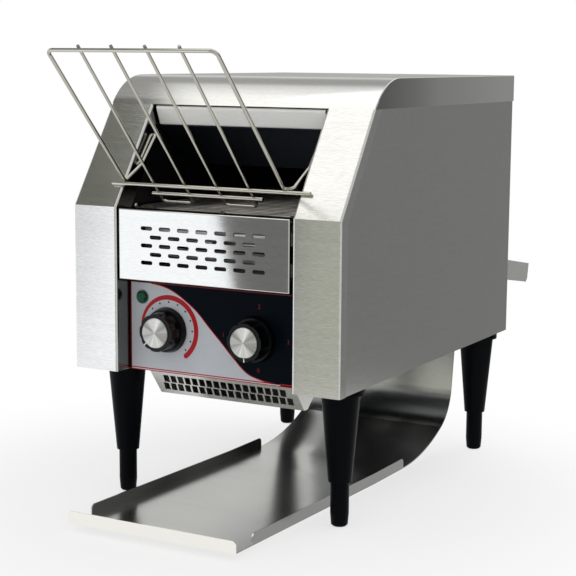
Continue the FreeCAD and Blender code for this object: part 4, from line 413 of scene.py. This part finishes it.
SHEETS = {
    "left_front_column": column_steel,
    "right_front_column": column_steel,
    "front_vent_cover": cover_steel,
    "left_side_panel": side_steel,
    "right_side_panel": side_steel,
    "top_cap": cap_steel,
    "toast_tray": tray_steel,
    "lower_vent_grille": scoop_steel,
    "rear_spacers": spacer_steel,
    "entry_guide": guide_steel,
    "pilot_lamp_body": plastic("lamp_rim", (0.002, 0.022, 0.013), 0.25, 1600.0, 0.03, 0.5),
}

for node_name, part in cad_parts.items():
    slot_name = part.data.materials[0].name.split(".")[0]
    if slot_name == "spun_aluminium":
        low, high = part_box(node_name)
        finish = spun("spun_" + node_name, (low + high) / 2)
    else:
        finish = SHEETS.get(node_name) or FINISHES[slot_name]
    part.data.materials[0] = finish


# Meshes

def show(name, mesh, material, body):
    """Put a mesh in the scene as a piece that rides on a body."""
    mesh.materials.clear()
    mesh.materials.append(material)
    made = bpy.data.objects.new(name, mesh)
    bpy.context.scene.collection.objects.link(made)
    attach(made, body)


def mesh_of(name, vertices, faces):
    mesh = bpy.data.meshes.new(name)
    mesh.from_pydata([tuple(v) for v in vertices], [], faces)
    mesh.validate()
    mesh.update()
    return mesh


def slab(loops, front, back):
    """Vertices and faces of a thin plate facing -y: an outline and its holes, in x and z."""
    flat = [point for loop in loops for point in loop]
    count = len(flat)
    vertices = [at(x, front, z) for x, z in flat] + [at(x, back, z) for x, z in flat]
    triangles = tessellate_polygon([[Vector((x, z, 0)) for x, z in loop] for loop in loops])
    faces = []
    for a, b, c in triangles:
        (ax, az), (bx, bz), (cx, cz) = flat[a], flat[b], flat[c]
        turn = (bx - ax) * (cz - az) - (bz - az) * (cx - ax)
        if turn < 0:
            a, c = c, a
        faces.append((a, b, c))
        faces.append((c + count, b + count, a + count))
    start = 0
    for index, loop in enumerate(loops):
        size = len(loop)
        area = sum(loop[i - 1][0] * loop[i][1] - loop[i][0] * loop[i - 1][1] for i in range(size))
        inward = (area < 0) == (index == 0)
        for i in range(size):
            a, b = start + i, start + (i + 1) % size
            if inward:
                a, b = b, a
            faces.append((b, a, a + count, b + count))
        start += size
    return vertices, faces


def ring(x, z, radius, count=48):
    turns = [2 * math.pi * i / count for i in range(count)]
    return [(x + radius * math.cos(t), z + radius * math.sin(t)) for t in turns]


def ribbon(path, widths):
    """The outline of a line of changing width along a path in x and z."""
    left, right = [], []
    for i, (x, z) in enumerate(path):
        ax, az = path[max(i - 1, 0)]
        bx, bz = path[min(i + 1, len(path) - 1)]
        length = math.hypot(bx - ax, bz - az)
        across = (-(bz - az) / length * widths[i] / 2, (bx - ax) / length * widths[i] / 2)
        left.append((x + across[0], z + across[1]))
        right.append((x - across[0], z - across[1]))
    return left + right[::-1]


def eased(points, steps=8):
    """A smooth curve through points, by Catmull and Rom's rule."""
    made = []
    padded = [points[0], *points, points[-1]]
    for i in range(1, len(padded) - 2):
        p0, p1, p2, p3 = (Vector(p) for p in padded[i - 1:i + 3])
        for step in range(steps):
            t = step / steps
            bend = (p0 - 3 * p1 + 3 * p2 - p3) * -(t ** 3) + (2 * p0 - 5 * p1 + 4 * p2 - p3) * t ** 2
            made.append(tuple((bend + (p2 - p0) * t + 2 * p1) / 2))
    made.append(tuple(points[-1]))
    return made


# The printed front of the control panel

PANEL_FRONT = 21.0
PANEL_EDGE_X = 94.2
SPEED_X, SELECTOR_X, KNOB_Z = -51.5, 45.3, 173.7
LAMP_X, LAMP_Z = -79.5, 203.4
# Each print starts just inside the panel, and the lines lie over the pale ground.
GROUND = PANEL_FRONT - 0.05
LINES = PANEL_FRONT - 0.1
INSIDE = PANEL_FRONT + 0.02
BUSHING_HOLE = 5.0
LAMP_HOLE = 5.2

ink_pale = ink("ink_pale", (0.57, 0.59, 0.635), 0.34)
ink_red = ink("ink_red", (0.45, 0.008, 0.016), 0.34)
ink_dull_red = ink("ink_dull_red", (0.2, 0.004, 0.008), 0.36)
# Dark red print; on the top line it also stands for the cover's shadow, a painted shadow.
ink_dark_red = ink("ink_dark_red", (0.13, 0.003, 0.007), 0.34)
ink_black = ink("ink_black", (0.01, 0.01, 0.012), 0.35)
ink_white = ink("ink_white", (0.85, 0.85, 0.83), 0.4)

PRINT_LOW_Z, PRINT_HIGH_Z = 132.3, 217.2
BORDER_WIDTH = 0.9
BORDER_END_X = 72.0
BORDER = eased([
    (-70.0, PRINT_HIGH_Z), (-56.0, 215.0), (-44.7, 211.1), (-33.4, 204.8), (-18.6, 194.1), (-5.7, 181.0),
    (9.0, 166.5), (21.7, 153.6), (36.2, 140.9), (50.5, 136.1), (61.1, 134.6), (BORDER_END_X, 134.2),
])
BAND_X = 92.6
BAND_Z = (132.8, 217.0)
TOP_LINE_Z = (217.1, 218.2)
BOTTOM_LINE_Z = (133.7, 134.7)
EDGE_LINE_Z = (132.05, 132.75)


def print_on_panel(name, outlines, front, material):
    """One piece of print from outlines, each a loop and the holes in it."""
    vertices, faces = [], []
    for loops in outlines:
        some, more = slab(loops, front, INSIDE)
        faces += [tuple(i + len(vertices) for i in face) for face in more]
        vertices += some
    show(name, mesh_of(name, vertices, faces), material, "casing")


def bar(x0, x1, z0, z1):
    return [(x0, z0), (x1, z0), (x1, z1), (x0, z1)]


low_edge = [(-BAND_X, PRINT_LOW_Z), (BORDER_END_X, PRINT_LOW_Z)]
pale_outline = [*low_edge, *BORDER[::-1], (-BAND_X, PRINT_HIGH_Z)]
holes = [ring(SPEED_X, KNOB_Z, BUSHING_HOLE)[::-1], ring(LAMP_X, LAMP_Z, LAMP_HOLE)[::-1]]
print_on_panel("print_pale_ground", [[pale_outline, *holes]], GROUND, ink_pale)
print_on_panel("print_border_line", [[ribbon(BORDER, [BORDER_WIDTH] * len(BORDER))]], LINES, ink_red)
print_on_panel("print_edge_lines", [
    [bar(-BAND_X, PANEL_EDGE_X, *BOTTOM_LINE_Z)],
    [bar(-PANEL_EDGE_X, PANEL_EDGE_X, *EDGE_LINE_Z)],
], LINES, ink_red)
print_on_panel("print_side_bands", [
    # The top line takes the dark red as a painted shadow under the cover's overhang.
    [bar(-PANEL_EDGE_X, PANEL_EDGE_X, *TOP_LINE_Z)],
    [bar(-PANEL_EDGE_X, -BAND_X, *BAND_Z)],
    [bar(BAND_X, PANEL_EDGE_X, *BAND_Z)],
], LINES, ink_dark_red)

DIAL_X, DIAL_Z = -49.7, 174.5
ARC_RADIUS = 30.6
ARC_FROM, ARC_TO = 176.0, -52.0
ARC_STEPS = 48
ARC_THIN, ARC_GROWTH, ARC_GROWTH_RATE = 2.5, 2.4, 2.4
ARC_END_STEPS = 8
TICK_RADIUS, TICK_SIZE, TICK_SIDES = 26.1, 0.95, 12
TICK_COUNT, TICK_FROM, TICK_STEP = 10, 158.0, 22.5


def on_dial(radius, turn):
    return DIAL_X + radius * math.cos(turn), DIAL_Z + radius * math.sin(turn)


def speed_arc():
    """The outline of the dial's arc, which widens from its start and ends round."""
    path, widths = [], []
    for step in range(ARC_STEPS + 1):
        share = step / ARC_STEPS
        path.append(on_dial(ARC_RADIUS, math.radians(ARC_FROM + (ARC_TO - ARC_FROM) * share)))
        widths.append(ARC_THIN + ARC_GROWTH * min(1.0, share * ARC_GROWTH_RATE))
    sides = ribbon(path, widths)
    (end_x, end_z), half = path[-1], widths[-1] / 2
    end_turns = [math.radians(ARC_TO) - i * math.pi / ARC_END_STEPS for i in range(1, ARC_END_STEPS)]
    end_cap = [(end_x + half * math.cos(turn), end_z + half * math.sin(turn)) for turn in end_turns]
    return sides[:len(path)] + end_cap + sides[len(path):]


print_on_panel("print_speed_arc", [[speed_arc()]], LINES, ink_red)
tick_turns = [math.radians(TICK_FROM - step * TICK_STEP) for step in range(TICK_COUNT)]
ticks = [[ring(*on_dial(TICK_RADIUS, turn), TICK_SIZE, TICK_SIDES)] for turn in tick_turns]
print_on_panel("print_speed_ticks", ticks, LINES, ink_black)

NUMERAL_HEIGHT = 4.2
CAPITAL_SHARE = 0.7
NUMERAL_DEPTH = 0.03
NUMERALS = (("0", 48.7, 144.6), ("1", 10.8, 174.6), ("2", 49.3, 204.4), ("3", 80.1, 174.3))


def numeral(name, figure, x, z):
    """One printed figure, its middle at a place on the panel."""
    letters = bpy.data.curves.new(name + "_curve", "FONT")
    letters.body = figure
    letters.size = NUMERAL_HEIGHT / CAPITAL_SHARE * MM
    letters.align_x = "CENTER"
    letters.align_y = "CENTER"
    letters.extrude = NUMERAL_DEPTH * MM
    letters.resolution_u = 6
    maker = bpy.data.objects.new(name + "_maker", letters)
    bpy.context.scene.collection.objects.link(maker)
    bpy.context.view_layer.update()
    mesh = bpy.data.meshes.new_from_object(maker)
    bpy.data.objects.remove(maker)
    place = Matrix.Translation(at(x, LINES + NUMERAL_DEPTH, z))
    mesh.transform(place @ Matrix.Rotation(math.radians(90), 4, "X"))
    mesh.name = name
    show(name, mesh, ink_dull_red, "casing")


for figure, x, z in NUMERALS:
    numeral("print_numeral_" + figure, figure, x, z)


# Knob pointers: a white line across the grip's face and down its side

GRIP_FACE = 0.2
GRIP_SKIRT = 14.2
GRIP_FACE_RADIUS = 18.0
GRIP_SKIRT_RADIUS = 19.0
CAP_EDGE = 14.6
POINTER_PROUD, POINTER_HALF = 0.12, 0.55


def pointer(name, x, turn, body):
    """A bent bar that points away from a knob's axis at a turn in the knob's plane."""
    along = Vector((math.cos(turn), 0, math.sin(turn)))
    side = Vector((-math.sin(turn), 0, math.cos(turn)))
    hub = at(x, 0, KNOB_Z)
    rear = Vector((0, 1, 0))
    proud = POINTER_PROUD
    line = [(CAP_EDGE, GRIP_FACE), (GRIP_FACE_RADIUS, GRIP_FACE), (GRIP_SKIRT_RADIUS, GRIP_SKIRT)]
    outer = [(CAP_EDGE, GRIP_FACE - proud), (GRIP_FACE_RADIUS + proud, GRIP_FACE - proud),
             (GRIP_SKIRT_RADIUS + proud, GRIP_SKIRT)]
    vertices = []
    for radius, depth in outer + line[::-1]:
        for sign in (-1, 1):
            vertices.append(hub + (along * radius + rear * depth + side * (POINTER_HALF * sign)) * MM)
    count = len(vertices)
    faces = [(i, i + 1, (i + 3) % count, (i + 2) % count) for i in range(0, count, 2)]
    faces += [(0, 2, 8, 10), (2, 4, 6, 8), (11, 9, 3, 1), (9, 7, 5, 3)]
    show(name, mesh_of(name, vertices, faces), ink_white, body)


SPEED_STOP = math.radians(225)
SELECTOR_OFF = math.radians(270)
pointer("speed_pointer", SPEED_X, SPEED_STOP, "speed_knob")
pointer("selector_pointer", SELECTOR_X, SELECTOR_OFF, "selector_knob")


# Small fittings

def turned(profile, base, axis, across, count=24):
    """Vertices and faces of a profile of (radius, height) turned round an axis, closed at its ends."""
    third = axis.cross(across)
    vertices, faces = [], []
    for radius, height in profile:
        for i in range(count):
            turn = 2 * math.pi * i / count
            spoke = across * math.cos(turn) + third * math.sin(turn)
            vertices.append(base + (axis * height + spoke * radius) * MM)
    for level in range(len(profile) - 1):
        for i in range(count):
            a, b = level * count + i, level * count + (i + 1) % count
            faces.append((a, b, b + count, a + count))
    faces.append(tuple(range(count))[::-1])
    faces.append(tuple(range((len(profile) - 1) * count, len(profile) * count)))
    return vertices, faces


SCREW_RADIUS, SCREW_HEIGHT, SCREW_SUNK = 2.6, 1.9, 0.2
# The screw's half section from under its head to its drive: shares of its radius and of its height.
SCREW_FORM = ((1.0, 0.35), (0.86, 0.75), (0.55, 1.0), (0.42, 1.0), (0.36, 0.45))
SHARP_TURN = math.radians(40)


def round_screw(name, place, axis):
    """A round-headed screw with a hollow drive."""
    profile = [(SCREW_RADIUS, -SCREW_SUNK)]
    profile += [(SCREW_RADIUS * wide, SCREW_HEIGHT * high) for wide, high in SCREW_FORM]
    mesh = mesh_of(name, *turned(profile, place, axis, across=Vector((0, 0, 1))))
    show(name, mesh, FINISHES["plated_fastener"], "casing")
    mesh.shade_smooth()
    mesh.set_sharp_from_angle(angle=SHARP_TURN)


WALL_FACE_X = 95.2
WALL_SCREW_Y, WALL_SCREW_Z = 33.0, 289.4
for wall, side in (("left", -1), ("right", 1)):
    place = at(side * WALL_FACE_X, WALL_SCREW_Y, WALL_SCREW_Z)
    round_screw(wall + "_wall_screws", place, Vector((-side, 0, 0)))


# Floor, world and lights

FLOOR_SIDES = 96
FLOOR_REACH = 0.56
FLOOR_DEPTH = 0.0006
FLOOR_Y = -0.1
FLOOR_CLOUDS = (6.0, 6.0, 6.0)
FLOOR_TONES = ((0.88, 0.88, 0.88, 1.0), (0.92, 0.92, 0.92, 1.0))
WHITE = (1.0, 1.0, 1.0, 1.0)
FADE_FROM, FADE_TO = 0.2, 0.53
LEAST_WHITE = 0.68


def floor_material():
    """Pale paper that fades to the white background, but only for rays that show it."""
    material, tree, shader = new_material("floor_paper")
    tone = noise(tree, FLOOR_CLOUDS, detail=2.0)
    tree.links.new(blend_colour(tree, tone, *FLOOR_TONES), shader.inputs["Base Color"])
    fill(shader, Roughness=0.9, Specular_IOR_Level=0.2)
    path = put(tree, "LightPath").outputs
    seen = calc(tree, "MAXIMUM", path["Is Camera Ray"], path["Is Glossy Ray"])
    seen = calc(tree, "MAXIMUM", seen, path["Is Transmission Ray"])
    place = put(tree, "TexCoord").outputs["Object"]
    away = put(tree, "VectorMath", {0: place}, operation="LENGTH").outputs["Value"]
    fade = remap(tree, away, FADE_FROM, FADE_TO, LEAST_WHITE, 1.0, smooth=True)
    glow = put(tree, "Emission", {"Color": WHITE, "Strength": 1.0})
    share = calc(tree, "MULTIPLY", seen, fade)
    both = put(tree, "MixShader", {0: share, 1: shader.outputs[0], 2: glow.outputs[0]})
    output = next(n for n in tree.nodes if n.type == "OUTPUT_MATERIAL")
    tree.links.new(both.outputs[0], output.inputs["Surface"])
    return material


def floor_disc():
    turns = [2 * math.pi * i / FLOOR_SIDES for i in range(FLOOR_SIDES)]
    rim = [(FLOOR_REACH * math.cos(t), FLOOR_REACH * math.sin(t)) for t in turns]
    vertices = [Vector((x, y, -FLOOR_DEPTH)) for x, y in rim]
    mesh = bpy.data.meshes.new("floor")
    mesh.from_pydata(vertices, [], [tuple(range(FLOOR_SIDES))])
    mesh.materials.append(floor_material())
    made = bpy.data.objects.new("floor", mesh)
    made.location = (0.0, FLOOR_Y, 0.0)
    bpy.context.scene.collection.objects.link(made)
    made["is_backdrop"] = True


floor_disc()


def window(tree, value, low, high, soft):
    """1 between two limits and 0 outside them, with soft edges."""
    rise = remap(tree, value, low - soft, low + soft, 0.0, 1.0, smooth=True)
    fall = remap(tree, value, high - soft, high + soft, 1.0, 0.0, smooth=True)
    return calc(tree, "MULTIPLY", rise, fall)


# Each panel of the studio takes up some directions. It gives the limits of their x part and the softness
# there, the limits of their turn about the x axis and the softness there, brightness, tint and lean. The
# turn is 0 in front of the toaster, 90 above it and 180 behind it. A later panel covers an earlier one.
PLAIN, COOL, WARM = (1.0, 1.0, 0.98), (0.93, 0.96, 1.0), (1.0, 1.02, 0.88)
STUDIO = (
    (-1.1, 1.1, 0.01, -150.0, -25.0, 6.0, 0.75, PLAIN, 0.0),
    (-0.75, -0.3, 0.04, 166.0, 200.0, 4.0, 0.47, PLAIN, 0.0),
    (-0.75, -0.3, 0.04, 120.0, 152.0, 5.0, 0.45, PLAIN, 0.0),
    (-0.75, -0.3, 0.04, 152.0, 168.0, 3.0, 0.72, PLAIN, 0.0),
    (0.2, 1.1, 0.05, -200.0, -135.0, 6.0, 0.245, PLAIN, 0.0),
    (0.2, 1.1, 0.05, 140.0, 200.0, 10.0, 0.25, PLAIN, 0.0),
    (-0.553, -0.36, 0.014, 36.0, 104.0, 30.0, 1.5, PLAIN, 0.0),
    (-0.76, -0.553, 0.01, 50.0, 150.0, 10.0, 0.4, PLAIN, 0.0),
    (-0.76, -0.553, 0.006, 40.0, 78.0, 5.0, 0.17, WARM, 0.0),
    (-0.6, -0.4752, 0.0012, -60.0, 20.0, 6.0, 0.2, PLAIN, 0.0),
    (-1.2, -0.5155, 0.0014, -60.0, 20.0, 6.0, 1.48, COOL, 0.00366),
    (-1.2, -0.584, 0.007, -14.0, 20.0, 3.0, 0.95, COOL, 0.0),
    (-0.4752, 0.1, 0.0012, -45.0, 20.0, 6.0, 0.54, WARM, 0.0),
)
BASE_LIGHT = 0.75
# Where a leaning panel's limits are met, in degrees below the level.
LEAN_TURN = 8.4


def studio_world():
    """The studio's panels round the toaster; the camera itself sees plain white."""
    world = bpy.data.worlds.new("studio")
    bpy.context.scene.world = world
    world.use_nodes = True
    sky = world.node_tree
    sky.nodes.clear()
    ray_parts = put(sky, "SeparateXYZ", {0: put(sky, "TexCoord").outputs["Generated"]}).outputs
    toward_front = calc(sky, "MULTIPLY", ray_parts[1], -1.0)
    about = calc(sky, "MULTIPLY", calc(sky, "ARCTAN2", ray_parts[2], toward_front), 180 / math.pi)
    level = (BASE_LIGHT, BASE_LIGHT, BASE_LIGHT, 1.0)
    for x0, x1, x_soft, turn0, turn1, turn_soft, bright, tint, lean in STUDIO:
        side = ray_parts[0]
        if lean:
            leaning = calc(sky, "MULTIPLY", calc(sky, "ADD", about, LEAN_TURN), lean)
            side = calc(sky, "ADD", side, leaning)
        across = window(sky, side, x0, x1, x_soft)
        inside = calc(sky, "MULTIPLY", across, window(sky, about, turn0, turn1, turn_soft))
        level = blend_colour(sky, inside, level, tuple(bright * c for c in tint) + (1.0,))
    camera_ray = put(sky, "LightPath").outputs["Is Camera Ray"]
    shown = blend_colour(sky, camera_ray, level, WHITE)
    backdrop = put(sky, "Background", {"Color": shown, "Strength": 1.0})
    put(sky, "OutputWorld", {"Surface": backdrop.outputs[0]})


studio_world()


def soft_light(name, place, aim, size, power):
    lamp = bpy.data.lights.new(name, "AREA")
    lamp.shape = "RECTANGLE"
    lamp.size, lamp.size_y = size
    lamp.energy = power
    made = bpy.data.objects.new(name, lamp)
    made.location = place
    made.rotation_mode = "QUATERNION"
    made.rotation_quaternion = (Vector(aim) - Vector(place)).to_track_quat("-Z", "Y")
    bpy.context.scene.collection.objects.link(made)


soft_light("overhead", place=(0.2, 0.5, 1.9), aim=(0, 0, 0.1), size=(1.6, 2.8), power=7.0)


# Camera

YAW, PITCH, ROLL = -0.505, -0.151, 0.007
CAMERA_PLACE = (0.740656, -1.361948, 0.432434)
FOCAL_LENGTH, SENSOR_WIDTH = 95.289, 36.0


def photo_camera():
    ahead = Vector((math.sin(YAW) * math.cos(PITCH), math.cos(YAW) * math.cos(PITCH), math.sin(PITCH)))
    level_right = Vector((math.cos(YAW), -math.sin(YAW), 0))
    level_up = level_right.cross(ahead)
    right = math.cos(ROLL) * level_right + math.sin(ROLL) * level_up
    up = -math.sin(ROLL) * level_right + math.cos(ROLL) * level_up
    lens = bpy.data.cameras.new("photo_camera")
    lens.lens = FOCAL_LENGTH
    lens.sensor_width = SENSOR_WIDTH
    lens.clip_start, lens.clip_end = 0.05, 30.0
    camera = bpy.data.objects.new("photo_camera", lens)
    bpy.context.scene.collection.objects.link(camera)
    axes = Matrix((right, up, -ahead)).transposed().to_4x4()
    camera.matrix_world = Matrix.Translation(CAMERA_PLACE) @ axes
    bpy.context.scene.camera = camera


photo_camera()
bpy.context.scene.view_settings.view_transform = "Standard"

low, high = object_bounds()
